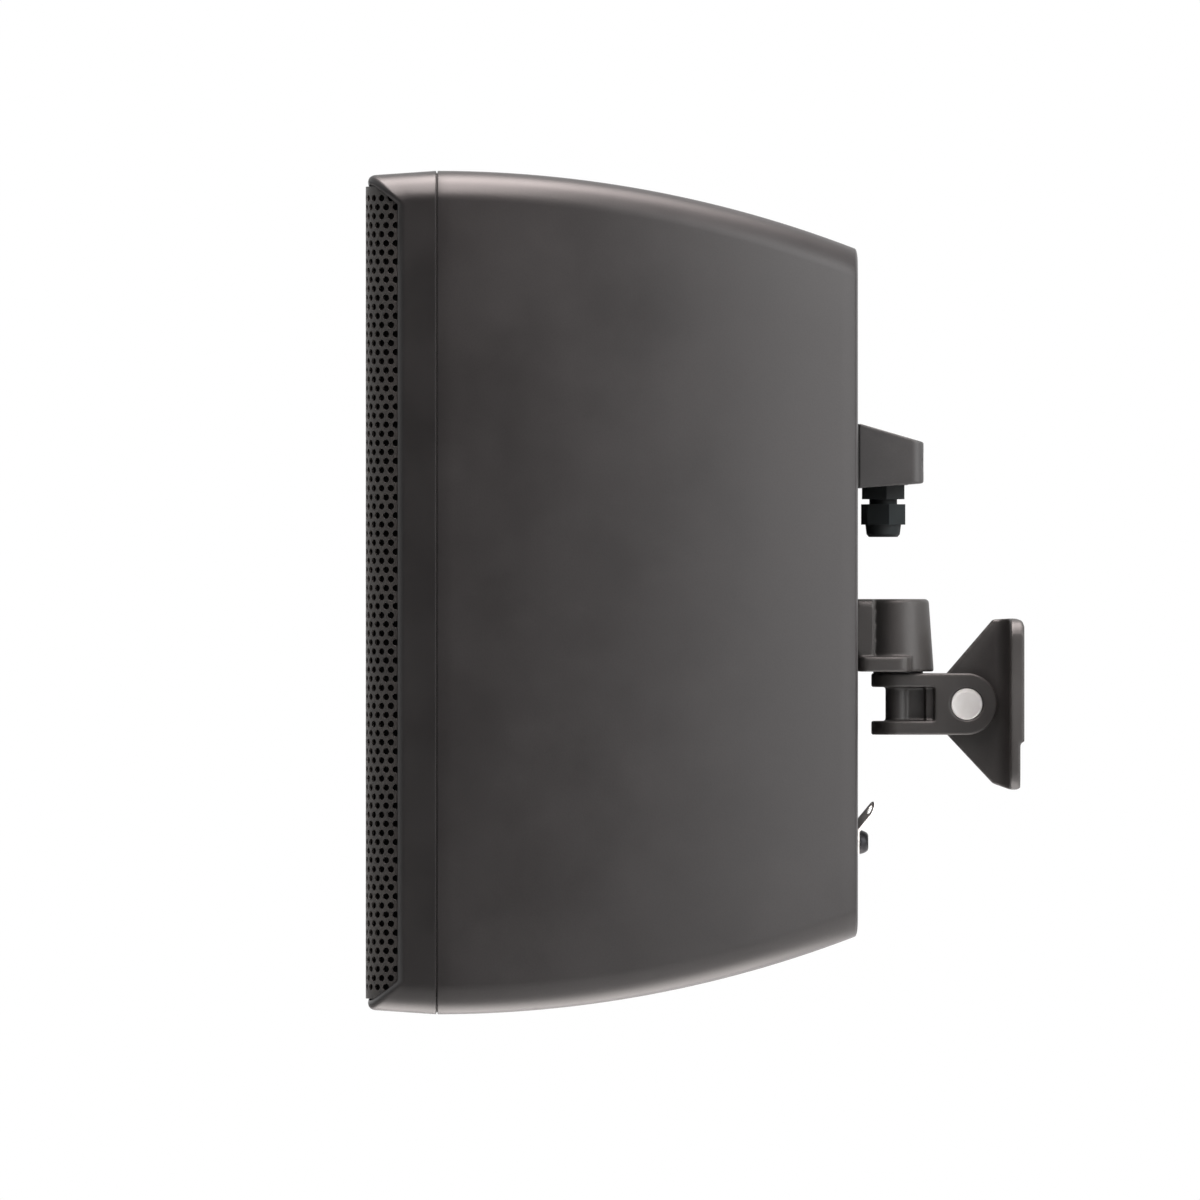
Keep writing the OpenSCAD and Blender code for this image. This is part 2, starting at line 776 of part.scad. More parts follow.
module terminal_block() {
    w = 44;
    h = 14;
    d = 10;
    color("#e3dfd0") difference() {
        union() {
            translate([-w / 2, rear_y, block_z - h / 2]) cube([w, d, h]);
            for (i = [-1.5:1:1.5]) {
                rod_y(6, rear_y + d - 1, rear_y + d + 1.5, i * 10, block_z);
            }
        }
        for (i = [-1.5:1:1.5]) {
            translate([i * 10, rear_y + d + 1.5, block_z]) cube([5, 1.6, 1.2], center = true);
        }
    }
}

// Side view of the cover: sloping top, upright rear and a slightly raised underside
function cover_side(t) = let(y1 = rear_y + cover_d - t, z0 = cover_z + t)
    [[cover_y - (t > 0 ? 1 : 0), z0 - 1], [y1, z0 + 1.5], [y1, cover_z + cover_h - t],
    [cover_y - (t > 0 ? 1 : 0), cover_z + cover_h + cover_slope - t * 1.1]];

// Plan of the cover with its two rounded rear corners
function cover_plan(t) = let(w = cover_w / 2 - t, y1 = rear_y + cover_d - t, r = 5.5 - t) concat(
    [[-w, cover_y - 2], [w, cover_y - 2]],
    arc(w - r, y1 - r, r, 0, 90),
    arc(r - w, y1 - r, r, 90, 180)
);

module cover_solid(t) {
    intersection() {
        along_x(-cover_w, cover_w) polygon(cover_side(t));
        translate([0, 0, cover_z - 5]) linear_extrude(cover_h + cover_slope + 10) polygon(cover_plan(t));
    }
}

module terminal_cover() {
    color("#484848") difference() {
        union() {
            difference() {
                cover_solid(0);
                cover_solid(cover_t);
            }
            for (s = [-1, 1]) {
                rod_y(9, cover_y, rear_y + cover_d - 1, s * cover_screw_x, cover_screw_z);
            }
            rod_z(gland_hex + 1.6, cover_z - 0.5, cover_z + cover_t + 1, 0, gland_axis);
        }
        for (s = [-1, 1]) {
            rod_y(cover_screw_d + loose_clear, cover_y - 1, rear_y + cover_d + 1, s * cover_screw_x, cover_screw_z);
            rod_y(7.6, rear_y + cover_d - 4, rear_y + cover_d + 1, s * cover_screw_x, cover_screw_z);
        }
        rod_z(gland_d + 0.4, cover_z - 3, cover_z + cover_t + 3, 0, gland_axis);
        translate([-gland_hex / 2 - 2, gland_axis - gland_hex / 2 - 2, cover_z - 5])
            cube([gland_hex + 4, gland_hex + 4, 5.5]);
    }
}

module cover_gasket() {
    top = cover_z + cover_h + cover_slope;
    inset = cover_t;
    color("#151515") along_y(rear_y, cover_y) difference() {
        translate([-cover_w / 2, cover_z - 0.9]) square([cover_w, top - cover_z + 0.6]);
        translate([-cover_w / 2 + inset, cover_z + inset]) square([cover_w - 2 * inset, top - cover_z - 2 * inset - 0.5]);
    }
}

module cover_screws() {
    color("#2a2a2c") for (s = [-1, 1]) translate([s * cover_screw_x, rear_y + cover_d - 4, cover_screw_z]) {
        difference() {
            union() {
                rotate([90, 0, 0]) cylinder(d = cover_screw_d, h = cover_d + rear_t - 4);
                rotate([-90, 0, 0]) cylinder(d = 7, h = 2.5);
            }
            for (a = [0, 90]) {
                translate([0, 2.2, 0]) rotate([0, a, 0]) cube([4.2, 2, 0.9], center = true);
            }
        }
    }
}

// Cable gland, from the nut inside the cover to the dome nut below

gland_top = cover_z + 0.5;
neck_z = gland_top - gland_flange_t;
dome_top = neck_z - gland_neck_l;
body_turn = 8;
dome_turn = 15;

module gland_body() {
    color("#1b1b1c") translate([0, gland_axis, 0]) difference() {
        union() {
            rod_z(gland_d, gland_top - 0.1, gland_top + thread_l);
            translate([0, 0, neck_z]) rotate([0, 0, body_turn])
                cylinder(d = gland_hex, h = gland_flange_t, $fn = 6);
            rod_z(gland_d - 2, dome_top - 7, neck_z + 0.1);
        }
        rod_z(gland_d - 5, dome_top - 8, gland_top + thread_l + 1);
    }
}

module gland_seal() {
    color("#3c3c3c") translate([0, gland_axis, 0]) difference() {
        rod_z(gland_d - 5, dome_top - 9, dome_top + 1);
        rod_z(cable_d, dome_top - 10, dome_top + 2);
    }
}

module gland_dome_nut() {
    taper_l = dome_l - dome_hex_l;
    round_l = 1.4;
    waist = gland_hex - 6.2;
    color("#202123") translate([0, gland_axis, 0]) difference() {
        union() {
            translate([0, 0, dome_top - dome_hex_l]) rotate([0, 0, dome_turn])
                cylinder(d = gland_hex, h = dome_hex_l, $fn = 6);
            translate([0, 0, dome_top - dome_l + round_l])
                cylinder(d1 = waist, d2 = gland_hex - 5, h = taper_l - round_l + 0.1);
            translate([0, 0, dome_top - dome_l]) cylinder(d1 = waist - 2.4, d2 = waist, h = round_l);
        }
        rod_z(gland_d - 2 + 0.2, dome_top - 9, dome_top + 1);
        rod_z(cable_d + 1.6, dome_top - dome_l - 1, dome_top);
    }
}

module gland_locknut() {
    z = cover_z + cover_t + 1;
    color("#1b1b1c") translate([0, gland_axis, z]) difference() {
        cylinder(d = gland_hex, h = 4, $fn = 6);
        translate([0, 0, -1]) cylinder(d = gland_d + 0.1, h = 6);
    }
}

// Shoe on the rear panel

shoe_head_d = shoe_screw_d * 1.7;
shoe_head_h = 4;

function shoe_screw_x(s) = s[0] * (shoe_w / 2 - 6);
function shoe_screw_z(s) = pan_top + shoe_flange_t + 7 + s[1] * (shoe_h - 14);

module mount_shoe() {
    flange_end = -pan_y + 6.5;
    base_face = rear_y + shoe_t;
    base_low = pan_top + shoe_flange_t - 1;
    chamfer = 1.2;
    color("#474747") difference() {
        union() {
            along_y(rear_y, base_face) translate([0, (base_low + shoe_top) / 2])
                polygon(rounded(shoe_w / 2, (shoe_top - base_low) / 2, 4));
            translate([0, (rear_y + flange_end) / 2, pan_top]) linear_extrude(shoe_flange_t)
                polygon(rounded(shoe_flange_w / 2, (flange_end - rear_y) / 2, 6));
            translate([0, -pan_y, pan_top])
                cylinder(d1 = post_d, d2 = post_d - post_taper, h = shoe_top - pan_top - chamfer);
            translate([0, -pan_y, shoe_top - chamfer])
                cylinder(d1 = post_d - post_taper, d2 = post_d - post_taper - 2 * chamfer, h = chamfer);
        }
        rod_z(bolt_d + 2 * run_clear, pan_top - 1, shoe_top + 1, 0, -pan_y);
        rod_z(bolt_d * 2 + 1, shoe_top - nut_t - 2, shoe_top + 1, 0, -pan_y);
        for (s = shoe_holes) {
            rod_y(shoe_screw_d + loose_clear, rear_y - 1, base_face + 1, shoe_screw_x(s), shoe_screw_z(s));
            rod_y(shoe_head_d + 0.6, base_face - shoe_head_h - 0.4, base_face + 1, shoe_screw_x(s), shoe_screw_z(s));
        }
    }
}

module backing_plate() {
    y1 = rear_y - rear_t;
    color("#9a9da1") difference() {
        translate([-shoe_w / 2, y1 - backing_t, pan_top + 2]) cube([shoe_w, backing_t, shoe_top - pan_top + 4]);
        for (s = shoe_holes) {
            rod_y(shoe_screw_d, y1 - backing_t - 1, y1 + 1, shoe_screw_x(s), shoe_screw_z(s));
        }
    }
}

module shoe_screws() {
    seat = rear_y + shoe_t - shoe_head_h - 0.4;
    color("#2a2a2c") for (s = shoe_holes) translate([shoe_screw_x(s), seat, shoe_screw_z(s)]) {
        difference() {
            union() {
                rotate([90, 0, 0]) cylinder(d = shoe_screw_d, h = seat - rear_y + rear_t + backing_t);
                rotate([-90, 0, 0]) cylinder(d = shoe_head_d, h = shoe_head_h);
            }
            translate([0, shoe_head_h + 1, 0]) rotate([90, 0, 0]) cylinder(d = shoe_screw_d * 0.9, h = 3.5, $fn = 6);
        }
    }
}

// Safety tab: a flat foot on the rear panel and a leg that leans out, with an eye

tab_screw_d = 5;
tab_foot = 10;
tab_bend = 1.5;
tab_bend_y = rear_y + tab_t + tab_bend;

module safety_tab() {
    color("#dcdad6") translate([0, 0, tab_z]) rotate([0, tab_turn, 0]) translate([0, 0, -tab_z]) difference() {
        union() {
            along_y(rear_y, rear_y + tab_t) translate([0, tab_z]) circle(r = tab_w / 2 + 1.5);
            translate([-tab_w / 2, 0, 0]) rotate([90, 0, 90]) linear_extrude(tab_w) tab_profile();
            tab_leg_at() along_y(-tab_bend - tab_t, -tab_bend) translate([0, tab_leg - tab_w / 2]) circle(r = tab_w / 2);
        }
        rod_y(tab_screw_d + loose_clear, rear_y - 1, rear_y + tab_t + 1, 0, tab_z);
        tab_leg_at() rod_y(tab_hole_d, -tab_bend - tab_t - 1, 1, 0, tab_leg - tab_w / 2);
    }
}

// The strip seen from its side: foot, bend and leg, with the bend's centre at tab_bend_y
module tab_profile() {
    steps = 12;
    bend_at = [tab_bend_y, tab_z + tab_foot];
    inner = [for (i = [0:steps]) bend_at + tab_bend * tab_ray(i * tab_angle / steps)];
    outer = [for (i = [steps:-1:0]) bend_at + (tab_bend + tab_t) * tab_ray(i * tab_angle / steps)];
    leg = (tab_leg - tab_w / 2) * [sin(tab_angle), cos(tab_angle)];
    polygon(concat([[rear_y + tab_t, tab_z]], inner, [inner[steps] + leg, outer[0] + leg], outer, [[rear_y, tab_z]]));
}

function tab_ray(turn) = [-cos(turn), sin(turn)];

module tab_leg_at() {
    translate([0, tab_bend_y, tab_z + tab_foot]) rotate([-tab_angle, 0, 0]) children();
}

module tab_screw() {
    head_h = 4.5;
    color("#232325") translate([0, rear_y + tab_t, tab_z]) difference() {
        union() {
            rotate([90, 0, 0]) cylinder(d = tab_screw_d, h = tab_t + rear_t + 4);
            rotate([-90, 0, 0]) cylinder(d1 = 12.5, d2 = 9, h = head_h);
        }
        translate([0, head_h + 0.5, 0]) rotate([90, 0, 0]) cylinder(d = 4.6, h = 3, $fn = 6);
    }
}

// Pan joint

module pan_washer() {
    color("#2b2b2c") translate([0, -pan_y, arm_r]) difference() {
        cylinder(d = arm_w - 2, h = washer_t);
        translate([0, 0, -1]) cylinder(d = bolt_d + 2 * run_clear, h = washer_t + 2);
    }
}

module pan_bolt() {
    color("#2a2a2c") translate([0, -pan_y, 0]) difference() {
        union() {
            rod_z(bolt_d, -arm_r + socket_t, shoe_top - 1.5);
            rod_z(head_d, -arm_r + 0.3, -arm_r + socket_t);
        }
        translate([0, 0, -arm_r - 1]) cylinder(d = bolt_d * 0.86, h = 4, $fn = 6);
    }
}

module pan_nut() {
    z = shoe_top - nut_t - 2;
    color("#2a2a2c") translate([0, -pan_y, z]) difference() {
        cylinder(d = (bolt_d + 5) / cos(30), h = nut_t, $fn = 6);
        translate([0, 0, -1]) cylinder(d = bolt_d + 2 * run_clear, h = nut_t + 2);
    }
}

// Swivel arm: a fork on the web, two lugs and a barrel on the pan axis

module swivel_arm() {
    cheek_y = -tilt_y - web_r + 1.4;
    slot_end = -tilt_y - slot_r;
    slot_wall = 2.2;
    neck_w = 9;
    color("#3f3c3b") difference() {
        union() {
            rod_x(arm_h, -arm_w / 2, arm_w / 2, -tilt_y, 0);
            translate([-arm_w / 2, cheek_y, -arm_r]) cube([arm_w, -tilt_y - cheek_y, arm_h]);
            for (z = [-arm_r, arm_r - lug_t]) {
                rod_z(arm_w, z, z + lug_t, 0, -pan_y);
                translate([-arm_w / 2, -pan_y, z]) cube([arm_w, pan_y + cheek_y + 1, lug_t]);
            }
            rod_z(barrel_d, -arm_r + 1, arm_r - 1, 0, -pan_y);
            translate([-neck_w / 2, -pan_y, -arm_r + 1]) cube([neck_w, pan_y + cheek_y + 1, arm_h - 2]);
            translate([-slot_half - slot_wall, slot_end - slot_wall, -arm_r + 1])
                cube([2 * (slot_half + slot_wall), cheek_y + 1 - slot_end + slot_wall, arm_h - 2]);
        }
        translate([-slot_half, slot_end, -arm_r - 1]) cube([slot_half * 2, slot_r + arm_r + 2, arm_h + 2]);
        rod_x(bolt_d + 2 * run_clear, -arm_w, arm_w, -tilt_y, 0);
        for (s = [-1, 1]) {
            rod_x(cap_d + 0.2, s > 0 ? cap_seat : -arm_w / 2 - 1, s > 0 ? arm_w / 2 + 1 : -cap_seat, -tilt_y, 0);
        }
        rod_z(bolt_d + 2 * run_clear, -arm_h, arm_h, 0, -pan_y);
        rod_z(head_d + 0.6, -arm_r - 1, -arm_r + socket_t, 0, -pan_y);
    }
}

module tilt_bolt() {
    color("#8f9296") translate([0, -tilt_y, 0]) difference() {
        union() {
            rod_x(bolt_d, -cap_seat - head_t, cap_seat);
            rod_x(head_d, cap_seat, cap_seat + head_t);
        }
        translate([cap_seat + head_t + 1, 0, 0]) rotate([0, -90, 0]) cylinder(d = bolt_d * 0.8, h = 3, $fn = 6);
    }
}

module tilt_nut() {
    color("#8f9296") translate([-cap_seat - head_t, -tilt_y, 0]) rotate([0, 90, 0]) difference() {
        cylinder(d = (bolt_d + 5) / cos(30), h = head_t, $fn = 6);
        translate([0, 0, -1]) cylinder(d = bolt_d + 2 * run_clear, h = head_t + 2);
    }
}

module tilt_caps() {
    color("#d8d5d2") for (s = [-1, 1]) {
        x = s * (cap_seat + head_t);
        rod_x(cap_d, min(x, x + s * cap_t), max(x, x + s * cap_t), -tilt_y, 0);
    }
}

module tilt_washers() {
    color("#2b2b2c") for (s = [-1, 1]) translate([s > 0 ? web_t / 2 : -slot_half, -tilt_y, 0])
        rotate([0, 90, 0]) difference() {
            cylinder(r = arm_r - 2, h = washer_t);
            translate([0, 0, -1]) cylinder(d = bolt_d + 2 * run_clear, h = washer_t + 2);
        }
}

// Wall bracket: plate with a flared web and a round end on the tilt axis

module wall_bracket() {
    foot_y = 15.4;
    flare_r = foot_y - plate_t;
    foot = [-foot_y, plate_h / 2 - 0.5];
    dist = norm(foot + [tilt_y, 0]);
    turn = acos(web_r / dist);
    lean = atan2(foot[1], tilt_y - foot_y);
    low = [-foot_y, -plate_h / 2 + 3];
    low_dist = norm(low + [tilt_y, 0]);
    low_turn = acos(web_r / low_dist);
    low_lean = atan2(low[1], tilt_y - foot_y);
    edge = 4;
    color("#403d3c") difference() {
        union() {
            intersection() {
                along_y(-plate_t, 0) polygon(rounded(plate_w / 2, plate_h / 2, 10));
                along_x(-plate_w, plate_w) polygon([
                    [-plate_t - 1, -plate_h / 2], [-edge, -plate_h / 2], [-1, -plate_h / 2 + 1.2],
                    [0, -plate_h / 2 + edge], [0, plate_h / 2 - edge], [-1, plate_h / 2 - 1.2],
                    [-edge, plate_h / 2], [-plate_t - 1, plate_h / 2]
                ]);
            }
            intersection() {
                along_x(-plate_w, plate_w) polygon(concat(
                    arc(-tilt_y, 0, web_r, lean + turn, 360 + low_lean - low_turn, 24),
                    [low, [-plate_t, -plate_h / 2], [-plate_t + 1, -plate_h / 2]],
                    [[-plate_t + 1, plate_h / 2], [-plate_t, plate_h / 2], foot]
                ));
                translate([0, 0, -plate_h]) linear_extrude(plate_h * 2) polygon(concat(
                    [[web_t / 2, -tilt_y - web_r - 1]],
                    arc(web_t / 2 + flare_r, -foot_y, flare_r, 180, 90),
                    [[web_t / 2 + flare_r, -plate_t + 1], [-web_t / 2 - flare_r, -plate_t + 1]],
                    arc(-web_t / 2 - flare_r, -foot_y, flare_r, 90, 0),
                    [[-web_t / 2, -tilt_y - web_r - 1]]
                ));
            }
        }
        rod_x(bolt_d + 2 * run_clear, -web_t, web_t, -tilt_y, 0);
        for (sx = [-1, 1]) for (sz = [-1, 1]) {
            rod_y(wall_hole_d, -plate_t - 1, 1, sx * wall_hole_x / 2, sz * wall_hole_z / 2);
        }
        translate([-plate_w, -relief_d, -plate_h]) cube([plate_w * 2, relief_d + 1, plate_h / 2 + relief_h]);
    }
}

cabinet_shell();
front_baffle();
seam_gasket();
grille();
grille_cloth();
front_screws();
woofer_frame();
woofer_cone();
dust_cap();
surround();
spider();
voice_coil();
magnet_top_plate();
magnet_ring();
pole_plate();
woofer_screws();
horn();
compression_driver();
horn_screws();
port_tubes();
crossover_board();
crossover_coils();
crossover_capacitors();
board_pillars();
transformer();
damping_pad();
terminal_block();
terminal_cover();
cover_gasket();
cover_screws();
gland_body();
gland_seal();
gland_dome_nut();
gland_locknut();
mount_shoe();
backing_plate();
shoe_screws();
safety_tab();
tab_screw();
pan_washer();
pan_bolt();
pan_nut();
swivel_arm();
tilt_bolt();
tilt_nut();
tilt_caps();
tilt_washers();
wall_bracket();
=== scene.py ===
# Wall speaker on its tilting arm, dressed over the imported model
import bpy
import bmesh
import json
import math
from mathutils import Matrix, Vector, noise


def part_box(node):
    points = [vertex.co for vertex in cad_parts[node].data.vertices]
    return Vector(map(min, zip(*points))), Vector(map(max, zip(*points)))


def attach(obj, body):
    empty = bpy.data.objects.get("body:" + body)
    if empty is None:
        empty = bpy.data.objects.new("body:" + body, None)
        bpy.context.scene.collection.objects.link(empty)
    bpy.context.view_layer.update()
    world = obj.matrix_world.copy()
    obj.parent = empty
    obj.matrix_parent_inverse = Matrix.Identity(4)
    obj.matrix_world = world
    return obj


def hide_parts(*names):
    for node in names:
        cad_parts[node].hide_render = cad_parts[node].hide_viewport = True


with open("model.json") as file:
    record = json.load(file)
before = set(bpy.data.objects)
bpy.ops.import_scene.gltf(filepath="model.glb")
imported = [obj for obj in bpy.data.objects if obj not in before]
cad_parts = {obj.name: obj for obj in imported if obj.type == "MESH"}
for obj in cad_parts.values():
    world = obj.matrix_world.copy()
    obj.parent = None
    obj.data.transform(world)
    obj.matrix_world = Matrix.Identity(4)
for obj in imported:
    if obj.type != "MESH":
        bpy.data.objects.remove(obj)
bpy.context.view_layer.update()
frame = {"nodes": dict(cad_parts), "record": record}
riseMm = 56.0  # middle height of the cabinet above the tilt axis


# The pieces' sizes are written in mm, and turned to metres where points are made

def metres(points):
    return [Vector(p) / 1000 for p in points]


def addObject(name, data):
    obj = bpy.data.objects.new(name, data)
    bpy.context.scene.collection.objects.link(obj)
    return obj


def addPiece(name, mesh, body, finish):
    obj = addObject(name, mesh)
    mesh.materials.clear()
    mesh.materials.append(finish)
    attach(obj, body)
    return obj


def meshFrom(bm, name, outward=True):
    if outward:
        bmesh.ops.recalc_face_normals(bm, faces=bm.faces)
    mesh = bpy.data.meshes.new(name)
    bm.to_mesh(mesh)
    bm.free()
    return mesh


def meshAsSeen(carrier):  # the mesh that a curve or a stack of modifiers gives; the carrier goes
    mesh = bpy.data.meshes.new_from_object(carrier.evaluated_get(bpy.context.evaluated_depsgraph_get()))
    bpy.data.objects.remove(carrier)
    return mesh


def smoothFaces(mesh, sharpAngle=None):
    for face in mesh.polygons:
        face.use_smooth = True
    if sharpAngle:
        mesh.set_sharp_from_angle(angle=math.radians(sharpAngle))
    return mesh


# Node helpers for the finishes

def addNode(tree, kind, **sockets):
    node = tree.nodes.new("ShaderNode" + kind)
    for key, value in sockets.items():
        if key in node.inputs:
            node.inputs[key].default_value = value
    return node


def colourOf(hexText):  # a written colour as the linear values that the nodes take
    parts = [int(hexText[i:i + 2], 16) / 255 for i in (1, 3, 5)]
    return [p / 12.92 if p <= 0.04045 else ((p + 0.055) / 1.055) ** 2.4 for p in parts] + [1]


def grey(level):
    return [level] * 3 + [1]


def twoTone(tree, factor, low, high, start=0.35, end=0.65):
    ramp = tree.nodes.new("ShaderNodeValToRGB")
    ramp.color_ramp.elements[0].position = start
    ramp.color_ramp.elements[1].position = end
    ramp.color_ramp.elements[0].color = low
    ramp.color_ramp.elements[1].color = high
    tree.links.new(factor, ramp.inputs[0])
    return ramp.outputs[0]


def feed(tree, socket, value):  # from another node's output, or a plain value
    if isinstance(value, bpy.types.NodeSocket):
        tree.links.new(value, socket)
    else:
        socket.default_value = value


def mixColours(tree, amount, first, second, how="MIX"):
    mix = tree.nodes.new("ShaderNodeMix")
    mix.data_type = "RGBA"
    mix.blend_type = how
    for place, value in ((0, amount), (6, first), (7, second)):  # 6 and 7 are its colour sockets
        feed(tree, mix.inputs[place], value)
    return mix.outputs[2]


def reckon(tree, how, first, second):
    node = tree.nodes.new("ShaderNodeMath")
    node.operation = how
    feed(tree, node.inputs[0], first)
    feed(tree, node.inputs[1], second)
    return node.outputs[0]


def newMaterial(name):
    material = bpy.data.materials.new(name)
    material.use_nodes = True
    return material, material.node_tree, material.node_tree.nodes["Principled BSDF"]


# What a finish has unless it says otherwise. Each also gives colour, tone (its second colour) and rough, and
# some give wear (the colour of rubbed edges) or streak (x, y, z scale, for brushed metal and wire).
plainLook = dict(patchMm=40, grainMm=0.6, speck=0.86, grainStrength=0.4, grainDepth=0.03, edgeMm=0.5,
                 wearAmount=0.5, roughSpread=0.08, metal=0.0, gloss=0.0, shine=0.5)
patchNoise = dict(Detail=4.0, Roughness=0.6)
grainNoise = dict(Detail=3.0, Roughness=0.55)
grainBand = (0.3, 0.6)  # noise levels between which the specks fade
edgeBand = (0.8, 0.985)  # cosines between which an edge counts as rubbed
leastWear = 0.15
bevelSamples = 4


def makeFinish(name, given):
    look = plainLook | given
    material, tree, shader = newMaterial(name)
    where = tree.nodes.new("ShaderNodeTexCoord").outputs["Object"]
    if "streak" in look:
        stretch = tree.nodes.new("ShaderNodeMapping")
        stretch.inputs["Scale"].default_value = look["streak"]
        tree.links.new(where, stretch.inputs["Vector"])
        where = stretch.outputs[0]
    patch = addNode(tree, "TexNoise", Scale=1000 / look["patchMm"], **patchNoise)
    grain = addNode(tree, "TexNoise", Scale=1000 / look["grainMm"], **grainNoise)
    tree.links.new(where, patch.inputs["Vector"])
    tree.links.new(where, grain.inputs["Vector"])
    colour = twoTone(tree, patch.outputs["Fac"], colourOf(look["colour"]), colourOf(look["tone"]))
    grainTone = twoTone(tree, grain.outputs["Fac"], grey(look["speck"]), grey(1), *grainBand)
    colour = mixColours(tree, 1.0, colour, grainTone, "MULTIPLY")
    soft = addNode(tree, "Bevel", Radius=look["edgeMm"] / 1000)
    soft.samples = bevelSamples
    if "wear" in look:  # rubbed edges: where the softened normal leaves the true one
        true = tree.nodes.new("ShaderNodeNewGeometry").outputs["Normal"]
        turn = tree.nodes.new("ShaderNodeVectorMath")
        turn.operation = "DOT_PRODUCT"
        tree.links.new(soft.outputs[0], turn.inputs[0])
        tree.links.new(true, turn.inputs[1])
        edge = twoTone(tree, turn.outputs["Value"], grey(1), grey(0), *edgeBand)
        patchy = twoTone(tree, patch.outputs["Fac"], grey(leastWear), grey(look["wearAmount"]))
        colour = mixColours(tree, reckon(tree, "MULTIPLY", edge, patchy), colour, colourOf(look["wear"]))
    tree.links.new(colour, shader.inputs["Base Color"])
    rough = addNode(tree, "MapRange", **{"To Min": look["rough"] - look["roughSpread"],
                                         "To Max": look["rough"] + look["roughSpread"]})
    tree.links.new(patch.outputs["Fac"], rough.inputs["Value"])
    tree.links.new(rough.outputs["Result"], shader.inputs["Roughness"])
    bump = addNode(tree, "Bump", Strength=look["grainStrength"], Distance=look["grainDepth"] / 1000)
    tree.links.new(grain.outputs["Fac"], bump.inputs["Height"])
    tree.links.new(soft.outputs[0], bump.inputs["Normal"])
    tree.links.new(bump.outputs[0], shader.inputs["Normal"])
    shader.inputs["Metallic"].default_value = look["metal"]
    shader.inputs["Coat Weight"].default_value = look["gloss"]
    shader.inputs["Specular IOR Level"].default_value = look["shine"]
    return material


